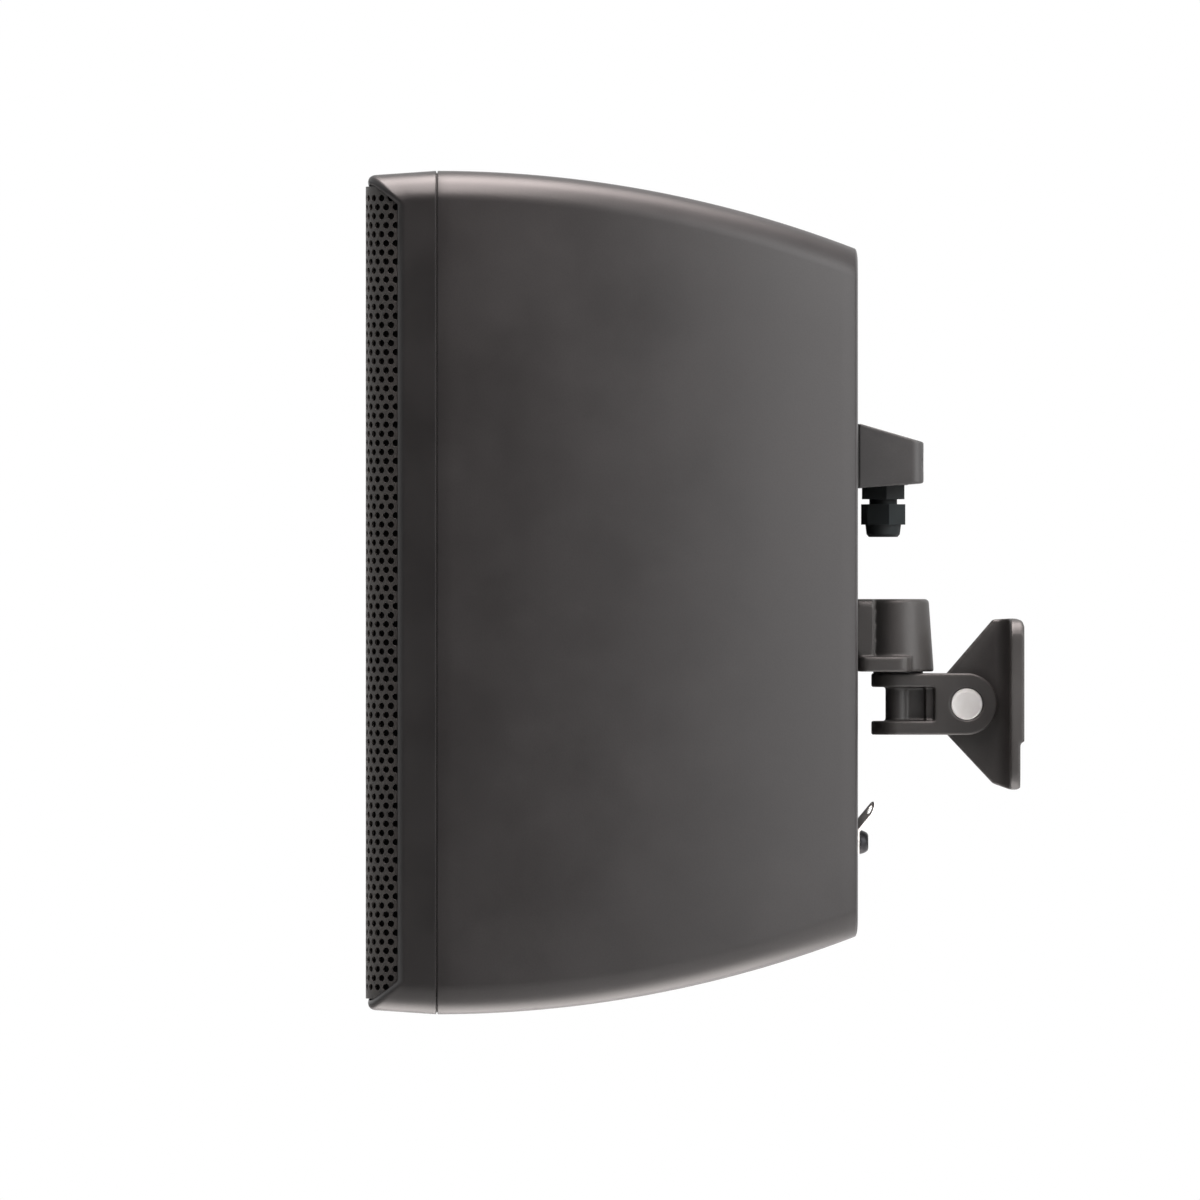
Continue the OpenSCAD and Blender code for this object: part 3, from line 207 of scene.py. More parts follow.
finishLooks = {
    "shellPlastic": dict(colour="#211f1f", tone="#262424", rough=0.39, shine=0.4, grainMm=0.9,
                         grainDepth=0.05, grainStrength=0.5, patchMm=60, wear="#5a5555",
                         wearAmount=0.2, edgeMm=0.8),
    # darker than the shell's plastic: painted shade for the front band, which faces a little forward, away
    # from the lamps behind
    "rimPlasticPaintedShade": dict(colour="#110f0f", tone="#151313", rough=0.39, grainMm=0.8, grainDepth=0.03,
                       patchMm=50, wear="#3a3636", wearAmount=0.2),
    "grillePaint": dict(colour="#2c2927", tone="#322f2c", rough=0.48, grainMm=0.5, grainDepth=0.02,
                        patchMm=45, wear="#5d5956", edgeMm=0.2, wearAmount=0.3),
    "grilleCloth": dict(colour="#060606", tone="#0b0b0b", rough=0.95, grainMm=0.45, grainDepth=0.12,
                        grainStrength=0.9, patchMm=20, speck=0.4, shine=0.1),
    "sealRubber": dict(colour="#111111", tone="#181818", rough=0.75, grainMm=0.4, patchMm=20),
    "blackScrew": dict(colour="#262628", tone="#303033", rough=0.38, metal=0.75, grainMm=0.25, patchMm=4,
                       wear="#8c8c90", edgeMm=0.25, wearAmount=0.6),
    "bracketPaint": dict(colour="#272524", tone="#2d2b2a", rough=0.46, grainMm=0.7, grainDepth=0.06,
                         grainStrength=0.55, patchMm=25, wear="#716c68", wearAmount=0.45, edgeMm=0.7),
    "capSilver": dict(colour="#efedeb", tone="#f6f5f4", rough=0.34, roughSpread=0.05, metal=0.1, grainMm=0.15,
                      grainDepth=0.01, patchMm=10, speck=0.95, wear="#f1efed", edgeMm=0.3),
    "stainless": dict(colour="#efedea", tone="#f6f4f2", rough=0.45, metal=0.12, grainMm=0.3, grainDepth=0.01,
                      patchMm=5, streak=(1, 1, 12), speck=0.9, wear="#ece9e4", edgeMm=0.2),
    "coverPlastic": dict(colour="#2b2a2a", tone="#302f2f", rough=0.46, grainMm=0.7, grainDepth=0.04,
                         grainStrength=0.5, patchMm=20, wear="#757373", wearAmount=0.35, edgeMm=0.9),
    "glandNylon": dict(colour="#0d1011", tone="#121617", rough=0.62, grainMm=0.4, grainDepth=0.012, patchMm=9,
                       wear="#4b5054", wearAmount=0.35, edgeMm=0.4, shine=0.25),
    "slidingNylon": dict(colour="#1d1d1d", tone="#242424", rough=0.5, grainMm=0.4, patchMm=8, speck=0.9),
    "framePaint": dict(colour="#1b1b1d", tone="#232326", rough=0.5, grainMm=0.6, grainDepth=0.05, patchMm=30,
                       wear="#7d7d80", wearAmount=0.3),
    "conePaper": dict(colour="#26231f", tone="#302c27", rough=0.85, grainMm=1.6, grainDepth=0.2,
                      grainStrength=0.8, patchMm=12, speck=0.75),
    "rollRubber": dict(colour="#131313", tone="#1b1b1b", rough=0.6, grainMm=0.6, patchMm=15),
    "spiderCloth": dict(colour="#b08a4c", tone="#c29a58", rough=0.9, grainMm=0.7, grainDepth=0.15,
                        grainStrength=0.8, patchMm=10, speck=0.7),
    "copperWire": dict(colour="#b4622f", tone="#cf7c42", rough=0.35, metal=0.9, grainMm=0.5, grainDepth=0.1,
                       grainStrength=0.7, patchMm=6, streak=(1, 1, 8)),
    "zincPlate": dict(colour="#a9a698", tone="#bdb9a6", rough=0.38, metal=0.95, grainMm=1.2, patchMm=14,
                      wear="#dedbcd", edgeMm=0.3),
    "ferriteRing": dict(colour="#2a2929", tone="#343232", rough=0.7, grainMm=0.9, grainDepth=0.08, patchMm=16,
                        wear="#4c4a49", wearAmount=0.6, edgeMm=0.6),
    "hornPlastic": dict(colour="#191919", tone="#202020", rough=0.45, grainMm=0.8, grainDepth=0.04,
                        patchMm=30, wear="#474747", wearAmount=0.3),
    "driverMetal": dict(colour="#232427", tone="#2c2d31", rough=0.4, metal=0.4, grainMm=0.6, patchMm=20,
                        wear="#8a8b8e", wearAmount=0.5, edgeMm=0.4),
    "boardGreen": dict(colour="#1f5a35", tone="#256840", rough=0.42, grainMm=1.2, patchMm=12, gloss=0.3),
    "filmRed": dict(colour="#8d2f22", tone="#a03a2b", rough=0.35, grainMm=0.8, patchMm=9, gloss=0.4),
    "pillarBrass": dict(colour="#b59543", tone="#caa953", rough=0.32, metal=1.0, grainMm=0.4, patchMm=4),
    "coreSteel": dict(colour="#77757a", tone="#89878c", rough=0.5, metal=0.8, grainMm=0.5, grainDepth=0.1,
                      grainStrength=0.8, patchMm=10, streak=(1, 20, 1)),
    "wadding": dict(colour="#c9c7bf", tone="#dddbd3", rough=1.0, grainMm=3.5, grainDepth=1.2,
                    grainStrength=1.0, patchMm=14, speck=0.7, shine=0.1),
    "terminalPlastic": dict(colour="#dcd7c6", tone="#e6e2d3", rough=0.45, grainMm=0.5, patchMm=10,
                            speck=0.95),
}
finishes = {name: makeFinish(name, look) for name, look in finishLooks.items()}
print("finishes made:", len(finishes))

slotFinish = {
    "shell_plastic": "shellPlastic", "rim_plastic": "rimPlasticPaintedShade", "grille_paint": "grillePaint",
    "cloth": "grilleCloth", "gasket_rubber": "sealRubber", "black_screw": "blackScrew",
    "frame_paint": "framePaint", "cone_paper": "conePaper", "surround_rubber": "rollRubber",
    "spider_cloth": "spiderCloth", "copper": "copperWire", "zinc_steel": "zincPlate",
    "ferrite": "ferriteRing", "horn_plastic": "hornPlastic", "driver_metal": "driverMetal",
    "board_green": "boardGreen", "film_red": "filmRed", "pillar_brass": "pillarBrass",
    "core_steel": "coreSteel", "wadding": "wadding", "terminal_plastic": "terminalPlastic",
    "cover_plastic": "coverPlastic", "gland_plastic": "glandNylon", "seal_rubber": "sealRubber",
    "bracket_paint": "bracketPaint", "stainless": "stainless", "cap_metal": "capSilver",
    "washer_nylon": "slidingNylon",
}

for nodeName, obj in frame["nodes"].items():
    slot = next(p["material_slot"] for p in frame["record"]["subparts"] if p["node"] == nodeName)
    for i in range(max(1, len(obj.data.materials))):
        if not obj.data.materials:
            obj.data.materials.append(None)
        obj.data.materials[i] = finishes[slotFinish[slot]]
print("carried-over pieces finished")


# Rings of points round the cabinet: four corner arcs joined by divided straight runs

def roundedOutline(halfW, halfH, radius, cornerSteps=12, runSteps=10):
    points = []
    for cx, cz, start in ((1, 1, 0), (-1, 1, 90), (-1, -1, 180), (1, -1, 270)):
        centre = (cx * (halfW - radius), cz * (halfH - radius))
        for k in range(cornerSteps + 1):
            angle = math.radians(start + 90 * k / cornerSteps)
            points.append((centre[0] + radius * math.cos(angle), centre[1] + radius * math.sin(angle)))
        nextCorner = {0: (-(halfW - radius), halfH), 90: (-halfW, -(halfH - radius)),
                      180: (halfW - radius, -halfH), 270: (halfW, halfH - radius)}[start]
        last = points[-1]
        for k in range(1, runSteps):
            t = k / runSteps
            points.append((last[0] + (nextCorner[0] - last[0]) * t, last[1] + (nextCorner[1] - last[1]) * t))
    return points


def sweepBack(x, halfW, radius):
    u = max(0.0, abs(x) - (halfW - radius))
    return radius - math.sqrt(max(0.0, radius * radius - u * u))


def ringAt(halfW, halfH, radius, y, sweepRadius=0):
    return [(x, y + (sweepBack(x, halfW, sweepRadius) if sweepRadius else 0), z + riseMm)
            for x, z in roundedOutline(halfW, halfH, radius)]


def loftRings(name, rings, capFirst=True, capLast=True):
    bm = bmesh.new()
    loops = [[bm.verts.new(p) for p in metres(ring)] for ring in rings]
    count = len(loops[0])
    for a, b in zip(loops, loops[1:]):
        for i in range(count):
            j = (i + 1) % count
            bm.faces.new((a[i], a[j], b[j], b[i]))
    if capFirst:
        bm.faces.new(loops[0][::-1])
    if capLast:
        bm.faces.new(loops[-1])
    return meshFrom(bm, name)


cabinet = dict(halfWidth=131, halfHeight=210.5, corner=15, leastCorner=3, flankRadius=590, length=210.5,
               seamY=-294.5, seamHalf=0.4, wall=5, rearWall=6, rearEdge=6, rearEdgeDepth=1.5,
               lipWidth=0.6, lipEdge=0.5, lipChamfer=0.12, insideSteps=8, flankSteps=28, edgeSteps=7,
               sharpAngle=30)


def cabinetRing(inset, depth):
    comeIn = cabinet["flankRadius"] - math.sqrt(cabinet["flankRadius"] ** 2 - depth * depth) + inset
    return ringAt(cabinet["halfWidth"] - comeIn, cabinet["halfHeight"] - comeIn,
                  max(cabinet["leastCorner"], cabinet["corner"] - inset), cabinet["seamY"] + depth)


def makeCabinet():
    c = cabinet
    seam, side = c["seamHalf"], c["length"] - c["rearEdgeDepth"]
    rings = [cabinetRing(c["wall"], (c["length"] - c["rearWall"]) * (1 - k / c["insideSteps"]))
             for k in range(c["insideSteps"])]
    rings += [cabinetRing(c["wall"], seam), cabinetRing(c["wall"] - c["lipWidth"], seam),
              cabinetRing(c["lipEdge"], seam), cabinetRing(c["lipChamfer"], seam + c["lipChamfer"]),
              cabinetRing(0, seam + c["lipEdge"])]
    rings += [cabinetRing(0, seam + c["lipEdge"] + (side - seam - c["lipEdge"]) * k / c["flankSteps"])
              for k in range(1, c["flankSteps"] + 1)]
    for k in range(1, c["edgeSteps"] + 1):
        turn = math.radians(90 * k / c["edgeSteps"])
        rings.append(cabinetRing(c["rearEdge"] * (1 - math.cos(turn)),
                                 side + c["rearEdgeDepth"] * math.sin(turn)))
    mesh = smoothFaces(loftRings("cabinetShell", rings), c["sharpAngle"])
    shell = addPiece("cabinetShell", mesh, "speaker", finishes["shellPlastic"])
    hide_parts("cabinet_shell")


makeCabinet()
print("cabinet shell made")

rim = dict(halfWidth=129, halfHeight=208.5, corner=15, backInset=5.4, boardFace=-306, boardBack=-298,
           noseY=-324.5, noseRound=4.5, noseInset=0.8, noseSteps=10, sweep=15, flankSteps=4, holeSides=64,
           recessHalfWidth=123.8, recessHalfHeight=203.3, recessCorner=9.8, recessFoot=2, recessTop=0.82,
           flare=0.25, cornerFlare=0.2, flareTop=0.94, seamHold=0.02, seamEdge=0.15, seamInset=0.14,
           sharpAngle=38)  # noseInset, recessTop and flareTop are shares of the nose's round
openings = [(0, -22, 94.5), (0, 168, 55), (-92, 86, 23), (92, 86, 23)]  # x, z, radius: woofer, horn, ports


def recessRing(y, sweep=0, flare=0, cornerFlare=0):
    r = rim
    return ringAt(r["recessHalfWidth"] + flare, r["recessHalfHeight"] + flare,
                  r["recessCorner"] + cornerFlare, y, sweep)


def sideRing(inset, y):
    c = cabinet
    return ringAt(c["halfWidth"] - inset, c["halfHeight"] - inset, c["corner"] - inset, y)


def makeRim():
    r = rim
    noseY, noseRound, sweep = r["noseY"], r["noseRound"], r["sweep"]
    rings = [recessRing(r["boardFace"]), recessRing(noseY + r["recessFoot"], sweep),
             recessRing(noseY - noseRound * r["recessTop"], sweep),
             recessRing(noseY - noseRound * r["flareTop"], sweep, r["flare"], r["cornerFlare"])]
    for k in range(r["noseSteps"], -1, -1):
        turn = math.radians(90 * k / r["noseSteps"])
        inset = noseRound * r["noseInset"] * (1 - math.cos(turn))
        rings.append(ringAt(r["halfWidth"] - inset, r["halfHeight"] - inset, r["corner"] - inset,
                            noseY - noseRound * math.sin(turn), sweep))
    seam = cabinet["seamY"] - cabinet["seamHalf"]
    noseEnd = rings[-1]
    widest = ringAt(cabinet["halfWidth"] - r["seamHold"], cabinet["halfHeight"] - r["seamHold"],
                    cabinet["corner"], seam - r["seamEdge"])
    for k in range(1, r["flankSteps"]):
        rings.append([tuple(Vector(a).lerp(Vector(b), k / r["flankSteps"])) for a, b in zip(noseEnd, widest)])
    rings += [widest, sideRing(r["seamInset"], seam), sideRing(r["backInset"], seam),
              sideRing(r["backInset"], r["boardBack"])]
    return smoothFaces(loftRings("frontRim", rings, capFirst=False, capLast=False), r["sharpAngle"])


def makeBoard():
    r = rim
    curve = bpy.data.curves.new("driverBoard", "CURVE")
    curve.dimensions = "2D"
    curve.fill_mode = "BOTH"
    half = (r["boardBack"] - r["boardFace"]) / 2
    curve.extrude = half / 1000
    outline = [(x, z + riseMm) for x, z in roundedOutline(
        cabinet["halfWidth"] - r["backInset"], cabinet["halfHeight"] - r["backInset"], r["recessCorner"])]
    loops = [outline]
    turns = [2 * math.pi * a / r["holeSides"] for a in range(r["holeSides"])]
    for x, z, radius in openings:
        loops.append([(x + radius * math.cos(turn), z + radius * math.sin(turn)) for turn in turns])
    for loop in loops:
        spline = curve.splines.new("POLY")
        spline.points.add(len(loop) - 1)
        for point, (x, z) in zip(spline.points, loop):
            point.co = (x / 1000, z / 1000, 0, 1)
        spline.use_cyclic_u = True
    mesh = meshAsSeen(addObject("driverBoardCurve", curve))
    for v in mesh.vertices:  # from the curve's flat plane to the front
        v.co = (v.co.x, (r["boardFace"] + half) / 1000 - v.co.z, v.co.y)
    return mesh


# rim and board take the darker rim plastic, whose colour carries painted shade
rimPiece = addPiece("frontRim", makeRim(), "speaker", finishes["rimPlasticPaintedShade"])
board = addPiece("driverBoard", makeBoard(), "speaker", finishes["rimPlasticPaintedShade"])
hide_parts("front_baffle")
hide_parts("front_baffle")
print("front rim and driver board made")

grille = dict(halfWidth=123.2, halfHeight=202.7, front=-330, bend=18, returnTo=-309, thick=1.2, corner=9.2,
              pitch=5.225, rowStep=4.525, rows=88, reach=51, holeRadius=1.75, holeSides=10,
              firstAngle=18, sharpAngle=40)  # reach: half pitches from the middle to the last cell wall
flatRun = grille["halfWidth"] - grille["bend"]
bendRun = grille["bend"] * math.pi / 2
sheetHalf = flatRun + bendRun + (grille["returnTo"] - grille["front"] - grille["bend"])


def wrapPoint(u, v, inset=0.0):  # u along the bent sheet from its middle, v up; inset behind the face
    g, side, run = grille, math.copysign(1, u), abs(u)
    radius = g["bend"] - inset
    if run <= flatRun:
        return (u, g["front"] + inset, v + riseMm)
    if run <= flatRun + bendRun:
        turn = (run - flatRun) / g["bend"]
        return (side * (flatRun + radius * math.sin(turn)),
                g["front"] + g["bend"] - radius * math.cos(turn), v + riseMm)
    return (side * (g["halfWidth"] - inset), g["front"] + g["bend"] + run - flatRun - bendRun, v + riseMm)


def joinByAngle(outer, inner):  # triangles between two loops of angles, each rising and less than a turn
    triangles = []
    i = j = 0
    while i < len(outer) or j < len(inner):
        nextOuter = outer[(i + 1) % len(outer)] + 360 * ((i + 1) // len(outer))
        nextInner = inner[(j + 1) % len(inner)] + 360 * ((j + 1) // len(inner))
        if j >= len(inner) or (i < len(outer) and nextOuter <= nextInner):
            triangles.append((("o", i), ("o", i + 1), ("i", j)))
            i += 1
        else:
            triangles.append((("o", i), ("i", j + 1), ("i", j)))
            j += 1
    return triangles


def makeGrille():
    g = grille
    half, reach = g["pitch"] / 2, g["reach"]
    bm = bmesh.new()
    corners = {}

    def corner(k, line):  # corner of a six-sided cell, k half pitches and line rows from the start
        if (k, line) not in corners:
            v = (line - g["rows"] / 2) * g["rowStep"]
            corners[(k, line)] = bm.verts.new(Vector(wrapPoint(k * half, v)) / 1000)
        return corners[(k, line)]

    offsets = [(1, 1), (0, 1), (-1, 1), (-1, 0), (0, 0), (1, 0)]
    outerAngles = [math.degrees(math.atan2((dl - 0.5) * g["rowStep"], dk * half)) % 360 for dk, dl in offsets]
    innerAngles = [g["firstAngle"] + 360 * n / g["holeSides"] for n in range(g["holeSides"])]
    order = sorted(range(len(offsets)), key=lambda n: outerAngles[n])
    offsets = [offsets[n] for n in order]
    pattern = joinByAngle([outerAngles[n] for n in order], innerAngles)
    for row in range(g["rows"]):
        v = (row + 0.5 - g["rows"] / 2) * g["rowStep"]
        odd = row % 2
        if odd:  # half a cell closes every other row at both ends
            for k in (-reach, reach - 1):
                bm.faces.new((corner(k, row), corner(k + 1, row), corner(k + 1, row + 1), corner(k, row + 1)))
        for k in range(-reach + 1 + odd, reach - odd, 2):
            around = [corner(k + dk, row + dl) for dk, dl in offsets]
            front, back = [], []
            for angle in innerAngles:
                u = k * half + g["holeRadius"] * math.cos(math.radians(angle))
                w = v + g["holeRadius"] * math.sin(math.radians(angle))
                front.append(bm.verts.new(Vector(wrapPoint(u, w)) / 1000))
                back.append(bm.verts.new(Vector(wrapPoint(u, w, g["thick"])) / 1000))
            pick = {"o": around, "i": front}
            for triangle in pattern:
                bm.faces.new([pick[kind][n % len(pick[kind])] for kind, n in triangle])
            for n in range(g["holeSides"]):
                m = (n + 1) % g["holeSides"]
                bm.faces.new((front[n], front[m], back[m], back[n]))
    # plain margin from the cells to the sheet's rounded outline, and its thin edge
    fieldU, fieldV = reach * half, g["rows"] * g["rowStep"] / 2
    border = [(k, 0) for k in range(-reach, reach)] + [(reach, line) for line in range(g["rows"])]
    border += [(k, g["rows"]) for k in range(reach, -reach, -1)]
    border += [(-reach, line) for line in range(g["rows"], 0, -1)]
    edge, under = [], []
    for k, line in border:
        u = k * half * sheetHalf / fieldU
        v = (line - g["rows"] / 2) * g["rowStep"] * g["halfHeight"] / fieldV
        cu, cv = sheetHalf - g["corner"], g["halfHeight"] - g["corner"]
        if abs(u) > cu and abs(v) > cv:
            du, dv = abs(u) - cu, abs(v) - cv
            scale = g["corner"] / math.hypot(du, dv)
            u, v = math.copysign(cu + du * scale, u), math.copysign(cv + dv * scale, v)
        edge.append(bm.verts.new(Vector(wrapPoint(u, v)) / 1000))
        under.append(bm.verts.new(Vector(wrapPoint(u, v, g["thick"])) / 1000))
    loop = [corner(k, line) for k, line in border]
    for n in range(len(loop)):
        m = (n + 1) % len(loop)
        bm.faces.new((loop[n], edge[n], edge[m], loop[m]))
        bm.faces.new((edge[n], under[n], under[m], edge[m]))
    return smoothFaces(meshFrom(bm, "grille"), g["sharpAngle"])


grillePiece = addPiece("perforatedGrille", makeGrille(), "speaker", finishes["grillePaint"])
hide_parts("grille")
print("grille made:", len(grillePiece.data.polygons), "faces")

cloth = dict(behind=1.7, sideMargin=1.0, endMargin=2.0, columns=60, rows=60)


def makeCloth():
    bm = bmesh.new()
    reachU, reachV = sheetHalf - cloth["sideMargin"], grille["halfHeight"] - cloth["endMargin"]
    grid = [[bm.verts.new(Vector(wrapPoint(reachU * (2 * i / cloth["columns"] - 1),
                                           reachV * (2 * j / cloth["rows"] - 1), cloth["behind"])) / 1000)
             for i in range(cloth["columns"] + 1)] for j in range(cloth["rows"] + 1)]
    for j in range(cloth["rows"]):
        for i in range(cloth["columns"]):
            bm.faces.new((grid[j][i], grid[j][i + 1], grid[j + 1][i + 1], grid[j + 1][i]))
    mesh = smoothFaces(meshFrom(bm, "grilleCloth", outward=False))
    cloth["cutLength"] = 2 * reachV / 1000
    cloth["cutWidth"] = sum(face.area for face in mesh.polygons) / cloth["cutLength"]
    return mesh


clothPiece = addPiece("grilleCloth", makeCloth(), "speaker", finishes["grilleCloth"])
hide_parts("grille_cloth")
print("cloth made")

castings = {
    "mount_shoe": dict(name="mountShoe", body="speaker", slot="bracket_paint", voxelMm=0.7, rounds=5),
    "swivel_arm": dict(name="swivelArm", body="arm", slot="bracket_paint", voxelMm=0.6, rounds=6),
    "wall_bracket": dict(name="wallBracket", body="wall_mount", slot="bracket_paint", voxelMm=0.75, rounds=5),
    "terminal_cover": dict(name="terminalCover", body="speaker", slot="cover_plastic", voxelMm=0.6, rounds=5),
}
skinSetup = dict(weldMetres=2e-6, softenFactor=0.5)


def skinOver(nodeName, make):  # skin over the CAD solid, its edges softened as paint and moulds leave them
    bm = bmesh.new()
    bm.from_mesh(frame["nodes"][nodeName].data)
    bmesh.ops.remove_doubles(bm, verts=bm.verts, dist=skinSetup["weldMetres"])
    carrier = addObject(make["name"] + "Solid", meshFrom(bm, make["name"], outward=False))
    skin = carrier.modifiers.new("skin", "REMESH")
    skin.mode = "VOXEL"
    skin.voxel_size = make["voxelMm"] / 1000
    soften = carrier.modifiers.new("soften", "SMOOTH")
    soften.factor = skinSetup["softenFactor"]
    soften.iterations = make["rounds"]
    return smoothFaces(meshAsSeen(carrier))


for nodeName, make in castings.items():
    skinMesh = skinOver(nodeName, make)
    piece = addPiece(make["name"], skinMesh, make["body"], finishes[slotFinish[make["slot"]]])
    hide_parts(nodeName)
    print("casting made:", piece.name, len(piece.data.polygons), "faces")

wadding = dict(name="wallWadding", voxelMm=4.5, rounds=4, fill=0.35, slackMm=2.6,
               tufts=[(24.0, 1.9), (7.0, 0.6)])  # how far apart the tufts are and how far they stand, mm


def makeWadding():  # batting laid round the walls: soft tufts, a little smaller than its room
    mesh = skinOver("damping_pad", wadding)
    out = [v.normal.copy() for v in mesh.vertices]
    for v, away in zip(mesh.vertices, out):
        rise = -wadding["slackMm"]
        for apart, height in wadding["tufts"]:
            rise += height * noise.noise(v.co * 1000 / apart)
        v.co += away * rise / 1000
    return mesh


battingPiece = addPiece(wadding["name"], makeWadding(), "speaker", finishes["wadding"])
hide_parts("damping_pad")
print("wadding made")


def latheRings(bm, profile, steps, put, hexUpTo=0):  # rings of radius and distance, the first few six-sided
    rings = []
    for i, (radius, out) in enumerate(profile):
        if radius == 0:
            rings.append([bm.verts.new(put(0, 0, out))])
            continue
        ring = []
        for k in range(steps):
            turn = 2 * math.pi * k / steps
            reach = radius
            if i < hexUpTo:
                reach /= math.cos((turn + math.pi / 6) % (math.pi / 3) - math.pi / 6)
            ring.append(bm.verts.new(put(reach * math.cos(turn), reach * math.sin(turn), out)))
        rings.append(ring)
    for a, b in zip(rings, rings[1:]):
        for k in range(steps):
            m = (k + 1) % steps
            quad = [a[k % len(a)], a[m % len(a)], b[m % len(b)], b[k % len(b)]]
            bm.faces.new(list(dict.fromkeys(quad)))


cap = dict(axisY=-28.6, steps=72, sharpAngle=30, profile=[
    (0.0, 13.5), (5.9, 13.5), (6.25, 13.54), (6.6, 13.66), (7.2, 13.7), (7.55, 13.6), (7.8, 13.3),
    (7.9, 12.95), (7.9, 12.1), (0.0, 12.1)])  # radius and distance from the middle, mm


def makeCaps():
    bm = bmesh.new()
    for side in (1, -1):
        latheRings(bm, cap["profile"], cap["steps"],
                   lambda a, b, out: Vector((side * out, cap["axisY"] + a, b)) / 1000)
    return smoothFaces(meshFrom(bm, "pivotCaps"), cap["sharpAngle"])


caps = addPiece("pivotCaps", makeCaps(), "arm", finishes["capSilver"])
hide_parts("tilt_caps")
print("pivot caps made")

tabScrew = dict(steps=48, socketRings=3, sharpAngle=40, profile=[
    (0, -2.4), (2.0, -2.4), (2.0, -0.25), (2.25, 0.0), (3.3, 0.0), (4.1, -0.25), (4.75, -0.8), (5.3, -1.7),
    (5.75, -2.8), (6.0, -3.8), (6.0, -4.3), (5.8, -4.5), (2.5, -4.5), (2.5, -13.0), (1.9, -14.4),
    (0, -14.4)])  # radius and distance from the head's top, mm


def makeTabScrew():  # button head with a hexagon socket, standing out from the rear panel
    low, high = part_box("tab_screw")
    midX, midZ = (low[0] + high[0]) / 2, (low[2] + high[2]) / 2
    bm = bmesh.new()
    latheRings(bm, tabScrew["profile"], tabScrew["steps"],
               lambda a, b, out: Vector((midX + a / 1000, high[1] + out / 1000, midZ + b / 1000)),
               hexUpTo=tabScrew["socketRings"])
    return smoothFaces(meshFrom(bm, "tabScrewHead"), tabScrew["sharpAngle"])


tabScrewPiece = addPiece("tabScrew", makeTabScrew(), "speaker", finishes["blackScrew"])
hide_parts("tab_screw")
print("tab screw made")

# Room: camera, floor, lamps and surroundings
cameraSetup = dict(away=14.0, y=-0.2130, z=0.0523, frameWidth=0.6, atX=0.09, sensorMm=36, clip=(0.1, 100))


def placeCamera():
    s = cameraSetup
    data = bpy.data.cameras.new("sideCamera")
    camera = addObject("sideCamera", data)
    camera.location = (s["away"] + s["atX"], s["y"], s["z"])
    camera.rotation_euler = (math.radians(90), 0, math.radians(90))
    data.sensor_width = s["sensorMm"]
    data.lens = s["sensorMm"] * s["away"] / s["frameWidth"]
    data.clip_start, data.clip_end = s["clip"]
    bpy.context.scene.camera = camera


placeCamera()

surroundings = dict(floorAt=(0, -0.2, -0.42), floorHalf=5.0, floorCells=8, floorColour="#e9e8e6",
                    floorShine=0.1, floorLift=0.4, fillColour="#eceff2", fillStrength=0.1, paperRough=0.9,
                    cardX=3.0, cardMiddle=(-1.7, 0.2), cardHalf=(2.35, 1.7), cardColour="#0d0d0e")


def paperFinish(name, colour):
    material, tree, shader = newMaterial(name)
    shader.inputs["Base Color"].default_value = colourOf(colour)
    shader.inputs["Roughness"].default_value = surroundings["paperRough"]
    return material, tree, shader


def makeFloor():
    s = surroundings
    bm = bmesh.new()
    bmesh.ops.create_grid(bm, x_segments=s["floorCells"], y_segments=s["floorCells"], size=s["floorHalf"])
    mesh = meshFrom(bm, "paleFloor", outward=False)
    floor = addObject("paleFloor", mesh)
    floor.location = s["floorAt"]
    material, tree, shader = paperFinish("floorPaper", s["floorColour"])
    shader.inputs["Specular IOR Level"].default_value = s["floorShine"]
    shader.inputs["Emission Color"].default_value = grey(1)
    ray = tree.nodes.new("ShaderNodeLightPath")
    lift = reckon(tree, "MULTIPLY", ray.outputs["Is Camera Ray"], s["floorLift"])
    tree.links.new(lift, shader.inputs["Emission Strength"])
    mesh.materials.append(material)


makeFloor()


def makeDarkCard():  # black card beside the camera, seen only in the speaker's sheen
    s = surroundings
    (y, z), (halfY, halfZ) = s["cardMiddle"], s["cardHalf"]
    corners = [(s["cardX"], y + along * halfY, z + up * halfZ)
               for along, up in ((-1, -1), (1, -1), (1, 1), (-1, 1))]
    mesh = bpy.data.meshes.new("darkCard")
    mesh.from_pydata(corners, [], [(0, 1, 2, 3)])
    mesh.materials.append(paperFinish("cardBlack", s["cardColour"])[0])
    card = addObject("darkCard", mesh)
    card.visible_camera = False
    card.visible_shadow = False
    card.visible_diffuse = False


makeDarkCard()


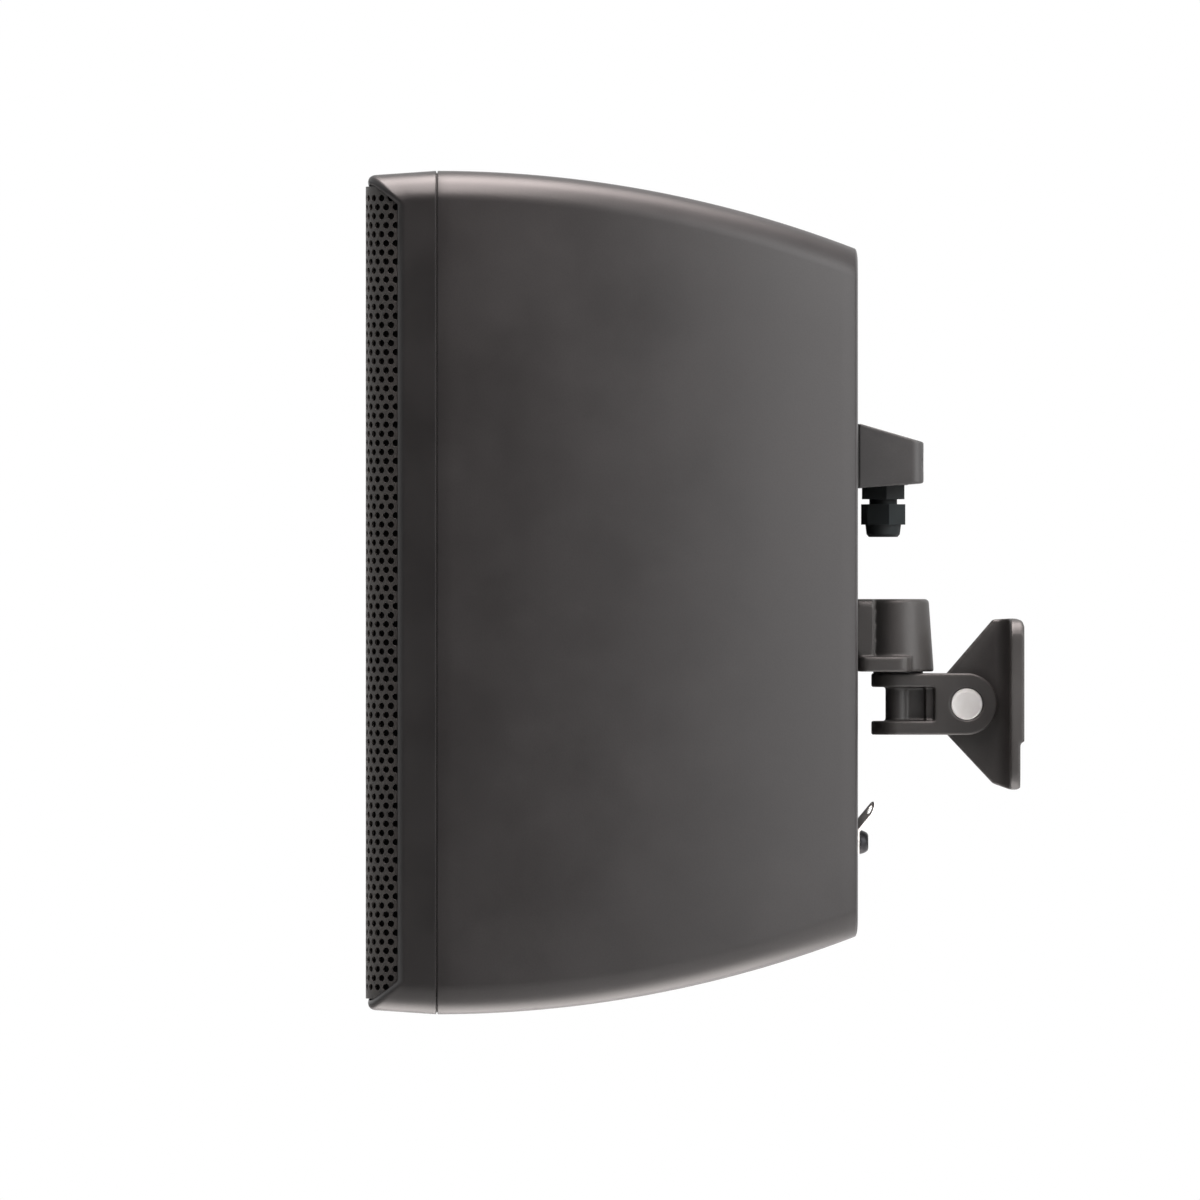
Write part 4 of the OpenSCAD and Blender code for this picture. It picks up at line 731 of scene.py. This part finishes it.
def makeWorld():  # soft fill on the speaker, plain white wherever the camera, gloss or glass looks past it
    world = bpy.data.worlds.new("studio")
    bpy.context.scene.world = world
    world.use_nodes = True
    tree = world.node_tree
    fill = tree.nodes["Background"]
    fill.inputs["Color"].default_value = colourOf(surroundings["fillColour"])
    fill.inputs["Strength"].default_value = surroundings["fillStrength"]
    backdrop = addNode(tree, "Background", Color=grey(1), Strength=1.0)
    ray = tree.nodes.new("ShaderNodeLightPath")
    seen = reckon(tree, "MAXIMUM", ray.outputs["Is Camera Ray"], ray.outputs["Is Glossy Ray"])
    seen = reckon(tree, "MAXIMUM", seen, ray.outputs["Is Transmission Ray"])
    mix = tree.nodes.new("ShaderNodeMixShader")
    tree.links.new(seen, mix.inputs[0])
    tree.links.new(fill.outputs[0], mix.inputs[1])
    tree.links.new(backdrop.outputs[0], mix.inputs[2])
    tree.links.new(mix.outputs[0], tree.nodes["World Output"].inputs["Surface"])


makeWorld()

# Some boxes light only the body of a finish (sheen=False), some only its sheen (body=False)
lamps = {
    "overheadBox": dict(place=(0.0, -0.2, 1.5), aim=(0.0, -0.2, 0.1), size=(0.9, 1.3), watts=26,
                        colour="#fff1ee"),
    "edgeStrip": dict(place=(0.62, -0.3, 1.4), aim=(0.1, -0.25, 0.3), size=(0.7, 1.8), watts=58,
                      colour="#fff1ee", body=False),
    "rearSideBox": dict(place=(0.6, 0.95, 0.85), aim=(0.1, -0.1, 0.1), size=(0.7, 0.9), watts=60,
                        colour="#ffffff", sheen=False),
    "rearSheenBox": dict(place=(1.35, 1.25, 0.55), aim=(0.1, -0.1, 0.1), size=(1.2, 1.3), watts=21,
                         colour="#ffffff", body=False),
    "farSideBox": dict(place=(-1.5, 0.5, 0.9), aim=(-0.05, -0.2, 0.05), size=(1.0, 1.3), watts=30,
                       colour="#f7f9ff", sheen=False),
    "frontSideBox": dict(place=(1.9, -1.6, 0.7), aim=(0.0, -0.25, 0.05), size=(0.9, 1.2), watts=1.5,
                         colour="#f4f7ff"),
    "lowBox": dict(place=(0.0, -0.2, -0.38), aim=(0.0, -0.2, 0.3), size=(0.26, 0.5), watts=2.0,
                   colour="#fff6f2"),
}
for name, lamp in lamps.items():
    data = bpy.data.lights.new(name, "AREA")
    data.shape = "RECTANGLE"
    data.size, data.size_y = lamp["size"]
    data.energy = lamp["watts"]
    data.color = colourOf(lamp["colour"])[:3]
    obj = addObject(name, data)
    obj.location = lamp["place"]
    obj.rotation_euler = (Vector(lamp["aim"]) - Vector(lamp["place"])).to_track_quat("-Z", "Y").to_euler()
    obj.visible_camera = False
    obj.visible_diffuse = lamp.get("body", True)
    obj.visible_glossy = lamp.get("sheen", True)
print("camera, floor and lamps placed")

bpy.context.scene.view_settings.view_transform = "Standard"
